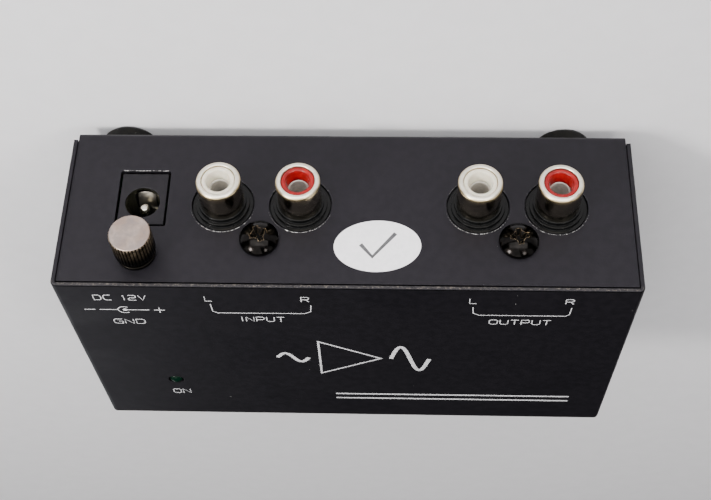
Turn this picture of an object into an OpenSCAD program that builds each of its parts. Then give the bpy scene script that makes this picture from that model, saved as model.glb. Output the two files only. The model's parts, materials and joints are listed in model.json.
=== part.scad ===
// Small solid-state phono preamplifier in a folded steel case.
// Millimetres. X runs along the case, +Y to the connector panel, +Z up through the printed cover.
// The origin is on the table, under the middle of the whole outline.

/* [Case] */
// Width of the case over the cover's sides
case_w = 107; // [104:1:120]
// Height from the underside of the chassis to the top of the cover
case_h = 34; // [33.5:0.5:40]
// Depth from the cover's front edge to the face of the connector panel
case_d = 58.4; // [57:0.2:74]
// Thickness of the steel sheet
sheet_t = 0.8; // [0.7:0.1:1]
// Outer radius of the folds in the sheet
bend_r = 1.1; // [1.1:0.1:2]
// How far the cover's edges stand past the two end panels
cover_lip = 0.4; // [0.2:0.1:1]
// Gap between the cover and the edges of the end panels
seam_gap = 0.3; // [0.2:0.05:0.5]
// Height of the cover's lower edges above the underside of the chassis
skirt_gap = 2; // [1.5:0.1:3]

/* [Cover screws] */
// Distance of the front cover screws from the cover's front edge
cover_screw_front = 15; // [12:0.5:17]
// Distance of the rear cover screws in front of the moulded socket blocks
cover_screw_rear = 2; // [1.8:0.1:4]
// Height of the cover screws above the underside of the chassis
cover_screw_up = 17; // [14:0.5:20]
// Width of each screw tab of the chassis
tab_w = 12; // [10:0.5:14]
// Length of the cover screws
cover_screw_len = 6; // [5:0.5:6]

/* [Feet] */
// Diameter of the rubber feet
foot_d = 11; // [9:0.5:12]
// Height of the rubber feet
foot_h = 3; // [2.6:0.1:6]
// Distance of the left feet's centres from the left side of the case
foot_in_left = 9.5; // [8:0.5:11]
// Distance of the right feet's centres from the right side of the case
foot_in_right = 12; // [8:0.5:12.5]
// Distance of the foot centres from the front edge and the connector panel
foot_in_y = 7; // [6.8:0.2:8.4]

/* [Circuit board] */
// Thickness of the circuit board
board_t = 1.6; // [1.2:0.2:2]
// Height of the board's standoffs
standoff_h = 6.9; // [5.4:0.1:8]
// Width across the round standoffs
standoff_d = 6; // [5:0.5:6.5]
// Gap between the board's side edges and the screw tabs
board_side_gap = 1; // [0.6:0.1:2]

/* [Phono sockets] */
// Distance between the two sockets of a pair
rca_pitch = 14.5; // [13.5:0.1:15]
// Gap between the power socket's body and the input pair's block
socket_gap = 4.45; // [3.4:0.05:6]
// Distance of the output pair from the right side of the case
output_in = 22.1; // [19:0.1:24]
// Height of the socket axes above the board
rca_up = 6.85; // [6.7:0.05:8]
// How far the sockets reach past the connector panel
rca_reach = 8.4; // [8:0.1:9.6]
// Outer diameter of the socket shells
rca_shell_d = 8.2; // [8:0.1:8.4]
// Wall of the socket shells
rca_shell_wall = 1; // [0.8:0.1:1.1]
// Bore of the centre contacts
rca_contact_bore = 3.3; // [3.2:0.05:3.4]
// Diameter of the round holes in the connector panel
rca_hole_d = 11.7; // [11.5:0.1:12.2]
// Width of the moulded block behind each pair
block_w = 27.4; // [26.4:0.2:27.6]
// Depth of the moulded block
block_depth = 11; // [10:0.5:12]
// Height of the block's screws above the socket axes
block_screw_up = 7.6; // [7.4:0.1:8.4]
// Diameter of the block screws' heads
block_screw_head_d = 7.3; // [6:0.1:7.6]

/* [Power socket] */
// Distance of the power socket from the left side of the case
dc_in = 14.8; // [13.4:0.1:17]
// Height of the power socket's axis above the board
dc_up = 6.4; // [6.3:0.05:6.8]
// Width of the power socket's body
dc_w = 8.8; // [8.6:0.1:9.2]
// Height of the power socket's body
dc_h = 11.2; // [10.8:0.1:11.4]
// Depth of the power socket's body
dc_depth = 14; // [13.6:0.1:15]
// Bore of the power socket
dc_bore_d = 6.5; // [6.3:0.1:6.8]
// Diameter of the power socket's centre pin
dc_pin_d = 2.1; // [1.9:0.1:2.5]
// How far the centre pin's tip lies behind the panel
dc_pin_in = 2; // [1.5:0.1:3]
// Width of the sprung contact
dc_leaf_w = 3.4; // [2.6:0.1:3.6]

/* [Ground terminal] */
// Distance of the ground terminal from the left side of the case
ground_in = 15.05; // [13.6:0.05:16.4]
// Height of the ground terminal above the middle of the room over the power socket
ground_rise = 0.2; // [0:0.05:0.3]
// Diameter of the knurled head
thumb_d = 7.7; // [7:0.1:8.2]
// How far the knurled head reaches past the panel
thumb_reach = 7.6; // [7:0.1:8]
// Number of ridges round the knurled head
thumb_ridges = 38; // [30:1:44]
// Diameter of the ground screw's thread
ground_thread_d = 4; // [3.6:0.1:4.2]
// Length of the ground screw behind its head
ground_thread_len = 10; // [9:0.5:12]

/* [Power light] */
// Distance of the light from the left side of the case
led_in_x = 16.8; // [15:0.1:20]
// Distance of the light from the cover's front edge
led_in = 17.6; // [17:0.2:20]
// Diameter of the light
led_d = 3; // [2.8:0.1:3.2]
// How far the light's dome stands above the cover
led_proud = 0.5; // [0.2:0.1:1]

/* [Sticker] */
// How far the oval sticker sits left of the middle between the two pairs
sticker_left = 2; // [0:0.1:3]
// Distance of the sticker's centre below the top of the cover
sticker_down = 9.1; // [8:0.1:11]
// Long diameter of the sticker
sticker_w = 16; // [14:0.5:17]
// Short diameter of the sticker
sticker_h = 10.8; // [9:0.1:12]

/* [Parts on the board] */
// Diameter of the two reservoir capacitors
reservoir_d = 10; // [8:0.5:10.5]
// Height of the two reservoir capacitors
reservoir_h = 14; // [11:0.5:15]
// Diameter of the coupling capacitors
coupling_d = 6.3; // [5:0.1:6.6]
// Height of the coupling capacitors
coupling_h = 11; // [9:0.5:13]
// Length of the film capacitors
film_l = 7.2; // [6:0.1:7.6]
// Number of resistors in the row
resistor_count = 10; // [6:1:10]
// Diameter of the component leads
lead_d = 0.6; // [0.5:0.05:0.7]

/* [Hidden] */
$fn = 48;
fit = 0.05;        // gap of a close fit, all round
cut = 1;           // how far a cutting tool runs past the face it opens

// Heights
z_under = foot_h;
z_floor = z_under + sheet_t;
z_top = z_under + case_h;
z_lid = z_top - sheet_t;
z_board = z_floor + standoff_h + board_t;
z_rca = z_board + rca_up;
z_dc = z_board + dc_up;
z_dc_top = z_board + dc_h;
z_ground = (z_dc_top + z_lid) / 2 + ground_rise;
z_block_screw = z_rca + block_screw_up;

// Depths
all_d = case_d + rca_reach;
y_front = -all_d / 2;
y_panel = all_d / 2 - rca_reach;
y_panel_in = y_panel - sheet_t;
y_front_panel = y_front + cover_lip;
block_back = y_panel_in - block_depth;
panel_w = case_w - 2 * (sheet_t + seam_gap);
panel_top = z_lid - seam_gap;

// Screws: thread radius, clearance hole and heads
m3_r = 1.45;
m3_hole_r = 1.7;
m3_head_r = 2.75;
m3_pan_h = 2;
pan_wall = 0.3;           // share of a pan head's height that stands straight
csk_rim = 0.2;

// Places along the case
dc_x = dc_in - case_w / 2;
ground_x = ground_in - case_w / 2;
led_x = led_in_x - case_w / 2;
input_x = dc_x + dc_w / 2 + socket_gap + block_w / 2;
output_x = case_w / 2 - output_in;
sticker_x = (input_x + output_x) / 2 - sticker_left;

// Cover screws sit in pressed dimples and reach the chassis tabs
dimple_r = m3_head_r + 0.15;
dimple_deep = dimple_r - m3_hole_r;
x_tab = case_w / 2 - sheet_t - dimple_deep;
cover_screw_y = [y_front + cover_screw_front, block_back - cover_screw_rear];
z_cover_screw = z_under + cover_screw_up;
tab_over = 4;

// Feet
foot_y = [y_front + foot_in_y, y_panel - foot_in_y];
foot_x = [foot_in_left - case_w / 2, case_w / 2 - foot_in_right];
foot_seat = 1.8;          // height of the screw's seat in the foot, above the table
foot_head_h = 1.4;
foot_bevel = 0.9;
foot_nut_h = 2.4;
m3_nut_af = 5.5;

// Circuit board
board_half = x_tab - sheet_t - board_side_gap;
board_back = y_panel_in - 0.6;
board_front = y_front + 5;
standoff_edge = 4.5;
standoff_back = 19.4;
standoff_front_in = 20.5;
standoff_at = [
  for (s = [-1, 1]) [s * (board_half - standoff_edge), board_back - standoff_back],
  for (s = [-1, 1]) [s * (case_w / 2 - standoff_front_in), board_front + standoff_edge]
];
spigot_r = 2.2;
board_screw_len = 5;

// Phono socket details, measured from the panel's outer face
boss_flush = -0.15;
boss_rim = 0.6;
boss_top = 1.5;
boss_rim_d = 10;
boss_top_d = 8.9;
rca_neck_d = 7.2;
rca_bore_d = rca_shell_d - 2 * rca_shell_wall;
insert_sink = 0.35;       // insert's face below the shell's rim
funnel_deep = 1.9;
funnel_hole_d = 3.7;
funnel_rim = 0.35;
contact_d = 4.2;
contact_deep = 2.5;       // contact's mouth below the insert's face
contact_len = 11;
block_over = 3;           // block above its screw
block_head_h = 2.6;
block_screw_len = 8;
block_nose_w = 9;         // width of the block's raised middle, round its screw
screw_turn_input = 25;    // how far the cross recesses are turned
screw_turn_output = 8;
tail_back = 2.4;          // contact tails stand this far behind the block
rca_tail_r = 0.5;
hole_play = 0.2;          // radial play of a lead in its hole in the board
lead_out = 1.2;           // how far leads pass under the board

// Power socket details
dc_face = y_panel - 0.3;
dc_play = 0.25;
dc_bore_deep = 9;
dc_stem = 1.2;            // the pin's square stem, through the body's back wall
dc_back = dc_face - dc_depth;
leaf_t = 0.3;
leaf_root = [dc_back + 1.6, z_dc - 4.55];
leaf_rise = 2;
leaf_start = 3;
leaf_len = 10.2;
leaf_slot_z = z_dc - 5.5;
leaf_gap = 0.35;
dc_tail_w = 1.6;
dc_tail_t = 0.5;

// Ground terminal details
washer_t = 0.8;
washer_off = 0.1;
washer_d = thumb_d - 0.5;
ground_r = ground_thread_d / 2 - fit;
thumb_base = washer_off + washer_t + 0.1;
thumb_neck = 0.6;
lug_t = 0.5;
lug_d = 8.4;
ground_nut_wall = 1.5;    // closed end of the nut, behind the thread
ground_nut_h = ground_thread_len - thumb_base - sheet_t - lug_t + 0.5 + ground_nut_wall;
ground_nut_af = 7;
wire_r = 0.75;
wire_core_r = 0.35;
wire_bend = 2.6;
wire_x = (dc_x + dc_w / 2 + input_x - block_w / 2) / 2;
lug_tail_w = 2.6;

// Sticker
sticker_t = 0.1;
sticker_turn = 2;

// Light
led_y = y_front + led_in;
led_body_h = 5.2;
led_flange_r = led_d / 2 + 0.4;
led_flange_h = 1;
led_tip = z_top + led_proud;
led_base = led_tip - led_body_h;
led_leg_x = 1.27;

// Places on the board: x from the middle of the case, y back from the board's rear edge
reservoir_at = [[-27, 20], [-15, 20]];
coupling_at = [[26, 20], [35, 20], [-36, 28], [36, 30]];
film_back = board_back - block_back + tail_back + rca_tail_r + hole_play + 0.4 + film_l / 2;
film_at = [for (x = [-4, 4, 12, 20]) [x, film_back]];
op_amp_at = [[-3.5, 26], [14, 26]];
resistor_x0 = -26;
resistor_step = 5;
resistor_near = 33;
resistor_span = 10;
resistor_r = 1.2;
resistor_l = 6.3;
regulator_at = [-36, 18];
regulator_d = 4.8;
regulator_h = 4.6;
regulator_up = 3;
regulator_flat = 1.6;
regulator_pitch = 1.27;
diode_at = [-41, 28];
diode_d = 2.7;
diode_l = 5.2;
diode_span = 5;
body_off = 0.1;           // lying parts clear the board by this much
film_w = 2.6;
film_h = 6.8;
film_lead = 2.5;
can_lead = 1.25;
reservoir_lead = 2.5;
dip = [9.6, 6.35, 3.4];
dip_pitch = 2.54;
dip_row = 3.81;
dip_up = 0.8;

function on_board(p) = [p[0], board_back - p[1]];
resistor_x = [for (i = [0 : resistor_count - 1]) resistor_x0 + i * resistor_step];
rca_x = [input_x - rca_pitch / 2, input_x + rca_pitch / 2,
         output_x - rca_pitch / 2, output_x + rca_pitch / 2];
regulator_leads = [for (i = [-1 : 1]) on_board(regulator_at) + [i * regulator_pitch, 0]];
diode_leads = [for (s = [-1, 1]) on_board(diode_at) + [0, s * diode_span]];
reservoir_leads = [for (p = reservoir_at, s = [-1, 1]) on_board(p) + [s * reservoir_lead, 0]];
coupling_leads = [for (p = coupling_at, s = [-can_lead, can_lead]) on_board(p) + [s, 0]];
film_leads = [for (p = film_at, s = [-film_lead, film_lead]) on_board(p) + [0, s]];
resistor_lead_at = [for (x = resistor_x, s = [0, resistor_span])
                    [x, board_back - resistor_near - s]];
dip_leads = [for (p = op_amp_at, i = [-1.5 : 1 : 1.5], s = [-1, 1])
             on_board(p) + [i * dip_pitch, s * dip_row]];
led_leads = [for (s = [-1, 1]) [led_x + s * led_leg_x, led_y]];
small_leads = concat(regulator_leads, diode_leads, reservoir_leads, coupling_leads,
                     film_leads, resistor_lead_at, dip_leads, led_leads);

// Shared shapes

// A shape drawn along +Z is turned to run along +Y from the panel's plane
module from_panel(x, z, y = y_panel) {
  translate([x, y, z]) rotate([-90, 0, 0]) children();
}

// Rounded end of a folded sheet, open side up: length l, height h, fold radius r
module fold_outline(l, h, r) {
  translate([r, 0]) square([l - 2 * r, h]);
  translate([0, r]) square([l, h - r]);
  for (x = [r, l - r]) translate([x, r]) circle(r);
}

// U of sheet, open side up
module fold_profile(l, h, r) {
  difference() {
    fold_outline(l, h, r);
    translate([sheet_t, sheet_t]) fold_outline(l - 2 * sheet_t, h, r - sheet_t + fit);
  }
}

// Ring or disc along +Z
module ring(r, hole_r, h) {
  difference() {
    cylinder(r = r, h = h);
    translate([0, 0, -cut]) cylinder(r = hole_r, h = h + 2 * cut);
  }
}

module hex_nut(af, h, hole_r) {
  difference() {
    cylinder(r = af / sqrt(3), h = h, $fn = 6);
    translate([0, 0, -cut]) cylinder(r = hole_r, h = h + 2 * cut);
  }
}

// Cross recess cut down from z = 0
module cross_recess(span, arm, deep) {
  for (a = [0, 90]) rotate([0, 0, a])
    translate([-span / 2, -arm / 2, -deep]) cube([span, arm, deep + cut]);
}

// Pan-head screw: head above z = 0, shank below
module pan_screw(head_r, head_h, shank_r, len, turn = 0) {
  dome_h = head_h * (1 - pan_wall);
  dome_r = (head_r * head_r + dome_h * dome_h) / (2 * dome_h);
  difference() {
    union() {
      intersection() {
        translate([0, 0, head_h - dome_r]) sphere(r = dome_r);
        cylinder(r = head_r, h = head_h + cut);
      }
      translate([0, 0, -len]) cylinder(r = shank_r, h = len + fit);
    }
    translate([0, 0, head_h]) rotate([0, 0, turn])
      cross_recess(head_r * 1.1, head_r * 0.26, head_h * 0.6);
  }
}

// Straight lead of the given radius through the board at a point
module board_lead(p, top, r = lead_d / 2) {
  low = z_board - board_t - lead_out;
  translate([p[0], p[1], low]) cylinder(r = r, h = top - low, $fn = 16);
}

// Case

module chassis() {
  tab_h = z_cover_screw + tab_over - z_under;
  color([0.12, 0.12, 0.13])
  difference() {
    union() {
      difference() {
        translate([-panel_w / 2, y_front_panel, z_under]) rotate([90, 0, 90])
          linear_extrude(panel_w)
          fold_profile(y_panel - y_front_panel, panel_top - z_under, bend_r);
        // the floor is notched where a tab is folded up
        for (sx = [-1, 1], y = cover_screw_y)
          translate([sx > 0 ? x_tab : -panel_w / 2 - cut, y - tab_w / 2 - 0.5, z_under - cut])
          cube([panel_w / 2 - x_tab + cut, tab_w + 1, sheet_t + 2 * cut]);
      }
      for (sx = [-1, 1], y = cover_screw_y)
        translate([sx > 0 ? x_tab - sheet_t : -x_tab, y - tab_w / 2, z_under])
        cube([sheet_t, tab_w, tab_h]);
    }
    for (sx = [-1, 1], y = cover_screw_y)
      translate([sx * x_tab, y, z_cover_screw]) rotate([0, 90, 0])
      cylinder(r = m3_r + fit, h = 4 * sheet_t, center = true);
    for (p = standoff_at) translate([p[0], p[1], z_under - cut])
      cylinder(r = spigot_r + fit, h = sheet_t + 2 * cut);
    for (x = foot_x, y = foot_y) translate([x, y, z_under - cut])
      cylinder(r = m3_hole_r, h = sheet_t + 2 * cut);
    for (x = rca_x) from_panel(x, z_rca, y_panel_in - cut)
      cylinder(d = rca_hole_d, h = sheet_t + 2 * cut);
    for (x = [input_x, output_x]) from_panel(x, z_block_screw, y_panel_in - cut)
      cylinder(r = m3_hole_r, h = sheet_t + 2 * cut);
    from_panel(ground_x, z_ground, y_panel_in - cut)
      cylinder(r = ground_thread_d / 2 + 0.25, h = sheet_t + 2 * cut);
    translate([dc_x - dc_w / 2 - dc_play, y_panel_in - cut, z_board - 0.1])
      cube([dc_w + 2 * dc_play, sheet_t + 2 * cut, dc_h + 0.1 + 2 * dc_play]);
  }
}

// Dish that the cover's sheet makes round each countersunk screw, along +Z from the outside
module dimple() {
  rotate_extrude() difference() {
    polygon([[m3_hole_r, -sheet_t - dimple_deep], [m3_hole_r, 0], [dimple_r + 1.2, 0],
             [dimple_r + 1.2, -sheet_t], [m3_hole_r + 1.2, -sheet_t - dimple_deep]]);
    polygon([[m3_hole_r, -dimple_deep], [m3_hole_r, cut], [dimple_r + cut, cut],
             [dimple_r, 0]]);
  }
}

module cover() {
  side_h = case_h - skirt_gap;
  length = y_panel + cover_lip - y_front;
  color([0.1, 0.1, 0.11])
  difference() {
    union() {
      difference() {
        translate([-case_w / 2, y_front + length, z_top]) rotate([-90, 0, 0]) mirror([0, 0, 1])
          linear_extrude(length) fold_profile(case_w, side_h, bend_r);
        for (sx = [-1, 1], y = cover_screw_y)
          translate([sx * case_w / 2, y, z_cover_screw]) rotate([0, 90, 0])
          cylinder(r = dimple_r + 1.1, h = 4 * sheet_t, center = true);
      }
      for (sx = [-1, 1], y = cover_screw_y)
        translate([sx * case_w / 2, y, z_cover_screw]) rotate([0, sx * 90, 0]) dimple();
    }
    translate([led_x, led_y, z_lid - cut]) cylinder(d = led_d + 0.3, h = sheet_t + 2 * cut);
  }
}

module cover_screws() {
  cone_h = m3_head_r - m3_r;
  color([0.09, 0.09, 0.1])
  for (sx = [-1, 1], y = cover_screw_y)
    translate([sx * (case_w / 2 - 0.1), y, z_cover_screw]) rotate([0, sx * 90, 0])
    difference() {
      union() {
        translate([0, 0, -cone_h]) cylinder(r1 = m3_r, r2 = m3_head_r, h = cone_h);
        translate([0, 0, -cover_screw_len]) cylinder(r = m3_r, h = cover_screw_len - csk_rim);
      }
      rotate([0, 0, 20]) cross_recess(3, 0.75, 1);
    }
}

// Feet

module foot(x, y) {
  color([0.05, 0.05, 0.05])
  translate([x, y, 0]) difference() {
    rotate_extrude() difference() {
      square([foot_d / 2, foot_h]);
      translate([foot_d / 2, 0]) rotate([0, 0, 45]) square(foot_bevel, center = true);
    }
    translate([0, 0, -cut]) cylinder(r = m3_head_r + 0.35, h = foot_seat + cut);
    cylinder(r = m3_r + 0.2, h = foot_h + cut);
  }
}

module foot_screws() {
  len = foot_h - foot_seat + sheet_t + foot_nut_h + 0.6;
  color([0.6, 0.6, 0.6])
  for (x = foot_x, y = foot_y) translate([x, y, foot_seat]) rotate([180, 0, 0])
    pan_screw(m3_head_r, foot_head_h, m3_r, len);
}

module foot_nuts() {
  color([0.7, 0.7, 0.68])
  for (x = foot_x, y = foot_y) translate([x, y, z_floor])
    hex_nut(m3_nut_af, foot_nut_h, m3_r + fit);
}

// Circuit board and what holds it

module circuit_board() {
  low = z_board - board_t;
  color([0.1, 0.32, 0.14])
  difference() {
    translate([-board_half, board_front, low])
      cube([2 * board_half, board_back - board_front, board_t]);
    for (p = standoff_at) translate([p[0], p[1], low - cut])
      cylinder(r = m3_hole_r, h = board_t + 2 * cut);
    for (p = small_leads) translate([p[0], p[1], low - cut])
      cylinder(r = lead_d / 2 + hole_play, h = board_t + 2 * cut, $fn = 16);
    for (x = rca_x, y = [block_back - tail_back, block_back - dc_tail_t / 2])
      translate([x, y, low - cut])
      cylinder(r = (y > block_back - 1 ? dc_tail_w / 2 : rca_tail_r) + hole_play,
               h = board_t + 2 * cut, $fn = 24);
    for (y = [dc_back - dc_tail_t, dc_back + 3.4]) translate([dc_x, y, low - cut])
      cylinder(r = dc_tail_w / 2 + hole_play, h = board_t + 2 * cut, $fn = 24);
    translate([wire_x, y_panel_in - lug_t - wire_bend, low - cut])
      cylinder(r = wire_core_r + hole_play, h = board_t + 2 * cut, $fn = 16);
  }
}

module board_standoffs() {
  color([0.72, 0.7, 0.62])
  for (p = standoff_at) translate([p[0], p[1], 0]) difference() {
    union() {
      translate([0, 0, z_floor]) cylinder(d = standoff_d, h = standoff_h);
      translate([0, 0, z_under]) cylinder(r = spigot_r, h = sheet_t + fit);
    }
    translate([0, 0, z_floor + 1.4]) cylinder(r = m3_r + fit, h = standoff_h);
  }
}

module board_screws() {
  color([0.72, 0.72, 0.7])
  for (p = standoff_at) translate([p[0], p[1], z_board])
    pan_screw(m3_head_r, m3_pan_h, m3_r, board_screw_len);
}

// Phono sockets

module rca_block(x) {
  z_high = z_block_screw + block_over;
  color([0.05, 0.05, 0.055])
  difference() {
    union() {
      translate([x - block_w / 2, block_back, z_board])
        cube([block_w, block_depth, z_rca + rca_hole_d / 2 - z_board]);
      translate([x - block_nose_w / 2, block_back, z_board])
        cube([block_nose_w, block_depth, z_high - z_board]);
      for (s = [-1, 1]) from_panel(x + s * rca_pitch / 2, z_rca) {
        translate([0, 0, -sheet_t - fit])
          cylinder(d = rca_hole_d - 0.4, h = sheet_t + fit + boss_flush);
        translate([0, 0, -sheet_t]) cylinder(d = boss_rim_d, h = sheet_t + boss_rim);
        translate([0, 0, -sheet_t]) cylinder(d = boss_top_d, h = sheet_t + boss_top);
      }
    }
    for (s = [-1, 1]) from_panel(x + s * rca_pitch / 2, z_rca, block_back - cut)
      cylinder(d = rca_neck_d + 2 * fit, h = block_depth + sheet_t + boss_top + 2 * cut);
    from_panel(x, z_block_screw, y_panel - block_screw_len - 1)
      cylinder(r = m3_r + fit, h = block_screw_len + 1 + cut);
  }
}

module rca_shell(x) {
  r = rca_shell_d / 2;
  wall = rca_shell_wall;
  neck_low = block_back - dc_tail_t - y_panel;
  color([0.75, 0.72, 0.62])
  union() {
    from_panel(x, z_rca) rotate_extrude() {
      translate([r - wall, boss_top]) square([wall, rca_reach - wall / 2 - boss_top]);
      translate([r - wall / 2, rca_reach - wall / 2]) circle(d = wall);
      translate([rca_bore_d / 2, neck_low])
        square([rca_neck_d / 2 - rca_bore_d / 2, boss_top - neck_low + fit]);
    }
    translate([x - dc_tail_w / 2, block_back - dc_tail_t, z_board - board_t - lead_out])
      cube([dc_tail_w, dc_tail_t, z_rca - rca_bore_d / 2 - 0.2 - z_board + board_t + lead_out]);
  }
}

module rca_insert(x, tint) {
  r = rca_bore_d / 2 - fit;
  face = rca_reach - insert_sink;
  back = block_back - y_panel;
  color(tint)
  from_panel(x, z_rca) rotate_extrude() difference() {
    translate([0, back]) square([r, face - back]);
    polygon([[0, face + cut], [0, face - funnel_deep], [funnel_hole_d / 2, face - funnel_deep],
             [r - funnel_rim, face], [r - funnel_rim, face + cut]]);
    translate([0, back]) square([funnel_hole_d / 2, face - back]);
    translate([0, back - cut]) square([contact_d / 2 + fit, face - contact_deep - back + cut]);
  }
}

module rca_contact(x) {
  mouth = rca_reach - insert_sink - contact_deep;
  low = mouth - contact_len;
  y_tail = block_back - tail_back;
  z_low = z_board - board_t - lead_out;
  color([0.8, 0.76, 0.66])
  union() {
    from_panel(x, z_rca) difference() {
      translate([0, 0, low]) cylinder(d = contact_d, h = contact_len);
      translate([0, 0, low + 1.5]) cylinder(d = rca_contact_bore, h = contact_len);
      translate([-0.2, -contact_d, mouth - 5]) cube([0.4, 2 * contact_d, 5 + cut]);
    }
    from_panel(x, z_rca, y_tail) cylinder(r = rca_tail_r, h = y_panel + low - y_tail + fit);
    translate([x, y_tail, z_rca]) sphere(r = rca_tail_r);
    translate([x, y_tail, z_low]) cylinder(r = rca_tail_r, h = z_rca - z_low);
  }
}

module block_screw(x, turn) {
  color([0.03, 0.03, 0.03])
  from_panel(x, z_block_screw)
    pan_screw(block_screw_head_d / 2, block_head_h, m3_r, block_screw_len, turn);
}

// Power socket

module dc_jack_body() {
  low = z_board;
  color([0.05, 0.05, 0.055])
  difference() {
    translate([dc_x - dc_w / 2, dc_back, low]) cube([dc_w, dc_depth, dc_h]);
    from_panel(dc_x, z_dc, dc_face - dc_bore_deep)
      cylinder(d = dc_bore_d, h = dc_bore_deep + cut);
    from_panel(dc_x, z_dc, dc_back - cut)
      linear_extrude(dc_depth) square(dc_stem + 2 * fit, center = true);
    translate([dc_x - dc_leaf_w / 2 - leaf_gap, dc_back - cut, leaf_slot_z])
      cube([dc_leaf_w + 2 * leaf_gap, dc_depth - 1.4 + cut, z_dc - 1.9 - leaf_slot_z]);
    // slots for the two tails that leave the body downwards
    translate([dc_x - dc_tail_w / 2 - fit, dc_back + 3.4 - dc_tail_t / 2 - fit, low - cut])
      cube([dc_tail_w + 2 * fit, dc_tail_t + 2 * fit, leaf_slot_z - low + 2 * cut]);
  }
}

module dc_jack_pin() {
  r = dc_pin_d / 2;
  tip = y_panel - dc_pin_in;
  floor_y = dc_face - dc_bore_deep;
  z_low = z_board - board_t - lead_out;
  color([0.8, 0.8, 0.78])
  union() {
    from_panel(dc_x, z_dc, dc_back - dc_tail_t)
      linear_extrude(dc_depth / 2) square(dc_stem, center = true);
    from_panel(dc_x, z_dc, floor_y) cylinder(r = r, h = tip - 0.5 - floor_y);
    from_panel(dc_x, z_dc, tip - 0.5) cylinder(r1 = r, r2 = r - 0.45, h = 0.5);
    translate([dc_x - dc_tail_w / 2, dc_back - 1.5 * dc_tail_t, z_low])
      cube([dc_tail_w, dc_tail_t, z_dc + r + 0.3 - z_low]);
  }
}

// Bowed strip: flat root, then a smooth hump up into the bore
function leaf_z(s) = s < leaf_start ? 0
  : leaf_rise * (1 - cos((s - leaf_start) / (leaf_len - leaf_start) * 300)) / 2;

module dc_jack_leaf() {
  steps = 24;
  top = [for (i = [0 : steps]) let (s = leaf_len * i / steps) [s, leaf_z(s) + leaf_t / 2]];
  low = [for (i = [steps : -1 : 0]) let (s = leaf_len * i / steps) [s, leaf_z(s) - leaf_t / 2]];
  color([0.82, 0.8, 0.7])
  translate([dc_x - dc_leaf_w / 2, leaf_root[0], leaf_root[1]]) rotate([90, 0, 90])
    linear_extrude(dc_leaf_w) polygon(concat(top, low));
}

// Fixed contact under the sprung one, with its tail
module dc_jack_terminals() {
  z_low = z_board - board_t - lead_out;
  y = dc_back + 3.4;
  color([0.8, 0.78, 0.68])
  union() {
    translate([dc_x - dc_tail_w / 2, y - dc_tail_t / 2, z_low])
      cube([dc_tail_w, dc_tail_t, leaf_slot_z + 0.3 - z_low]);
    translate([dc_x - dc_leaf_w / 2, dc_back + 0.4, leaf_slot_z])
      cube([dc_leaf_w, 3.4, 0.3]);
  }
}

// Ground terminal

module ground_thumb_screw() {
  r = thumb_d / 2;
  h = thumb_reach - thumb_base - thumb_neck;
  ridge = [for (i = [0 : 2 * thumb_ridges - 1])
           let (a = i * 180 / thumb_ridges, q = i % 2 == 0 ? r : r - 0.28)
           [q * cos(a), q * sin(a)]];
  color([0.6, 0.55, 0.48])
  from_panel(ground_x, z_ground) union() {
    translate([0, 0, thumb_base + thumb_neck]) intersection() {
      linear_extrude(h) polygon(ridge);
      rotate_extrude() polygon([[0, 0], [r - 0.4, 0], [r + 0.1, 0.5], [r + 0.1, h - 0.3],
                                [r - 0.3, h], [0, h]]);
    }
    translate([0, 0, thumb_base]) cylinder(r = r - 0.7, h = thumb_neck + fit);
    translate([0, 0, thumb_base - ground_thread_len])
      cylinder(r = ground_r, h = ground_thread_len + fit);
  }
}

module ground_clamp_washer() {
  color([0.62, 0.6, 0.55])
  from_panel(ground_x, z_ground, y_panel + washer_off)
    ring(washer_d / 2, ground_thread_d / 2 + fit, washer_t);
}

module ground_lug() {
  color([0.78, 0.76, 0.7])
  from_panel(ground_x, z_ground, y_panel_in - lug_t) difference() {
    union() {
      cylinder(d = lug_d, h = lug_t);
      translate([0, -lug_tail_w / 2, 0]) cube([wire_x - ground_x, lug_tail_w, lug_t]);
      translate([wire_x - ground_x, 0, 0]) cylinder(d = lug_tail_w, h = lug_t);
    }
    translate([0, 0, -cut]) cylinder(r = ground_thread_d / 2 + 0.25, h = lug_t + 2 * cut);
    translate([wire_x - ground_x, 0, -cut])
      cylinder(r = wire_core_r + fit, h = lug_t + 2 * cut, $fn = 24);
  }
}

// Long nut, closed at the back so that no swarf or damp gets in past the thread
module ground_nut() {
  color([0.74, 0.73, 0.68])
  from_panel(ground_x, z_ground, y_panel_in - lug_t - ground_nut_h) {
    cylinder(d = ground_nut_af / cos(30), h = ground_nut_wall, $fn = 6);
    translate([0, 0, ground_nut_wall])
      hex_nut(ground_nut_af, ground_nut_h - ground_nut_wall, ground_thread_d / 2);
  }
}

// Insulated wire: out of the lug, round a quarter bend and down to the board
module ground_wire() {
  y_out = y_panel_in - lug_t;
  y_down = y_out - wire_bend;
  z_low = z_board - board_t - lead_out;
  color([0.1, 0.45, 0.15])
  union() {
    from_panel(wire_x, z_ground, y_out) cylinder(r = wire_core_r, h = lug_t, $fn = 24);
    translate([wire_x, y_out, z_ground - wire_bend]) rotate([90, 0, -90])
      rotate_extrude(angle = 90) translate([wire_bend, 0]) circle(r = wire_r);
    translate([wire_x, y_down, z_board]) cylinder(r = wire_r, h = z_ground - wire_bend - z_board);
    translate([wire_x, y_down, z_low]) cylinder(r = wire_core_r, h = z_board - z_low, $fn = 24);
  }
}

// Power light

module led_lens() {
  r = led_d / 2;
  color([0.05, 0.25, 0.1])
  translate([led_x, led_y, 0]) union() {
    translate([0, 0, led_base]) cylinder(r = led_flange_r, h = led_flange_h);
    translate([0, 0, led_base]) cylinder(r = r, h = led_body_h - r);
    translate([0, 0, led_tip - r]) sphere(r = r);
  }
}

module led_legs() {
  color([0.75, 0.75, 0.72]) for (p = led_leads) board_lead(p, led_base, 0.25);
}

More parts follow.
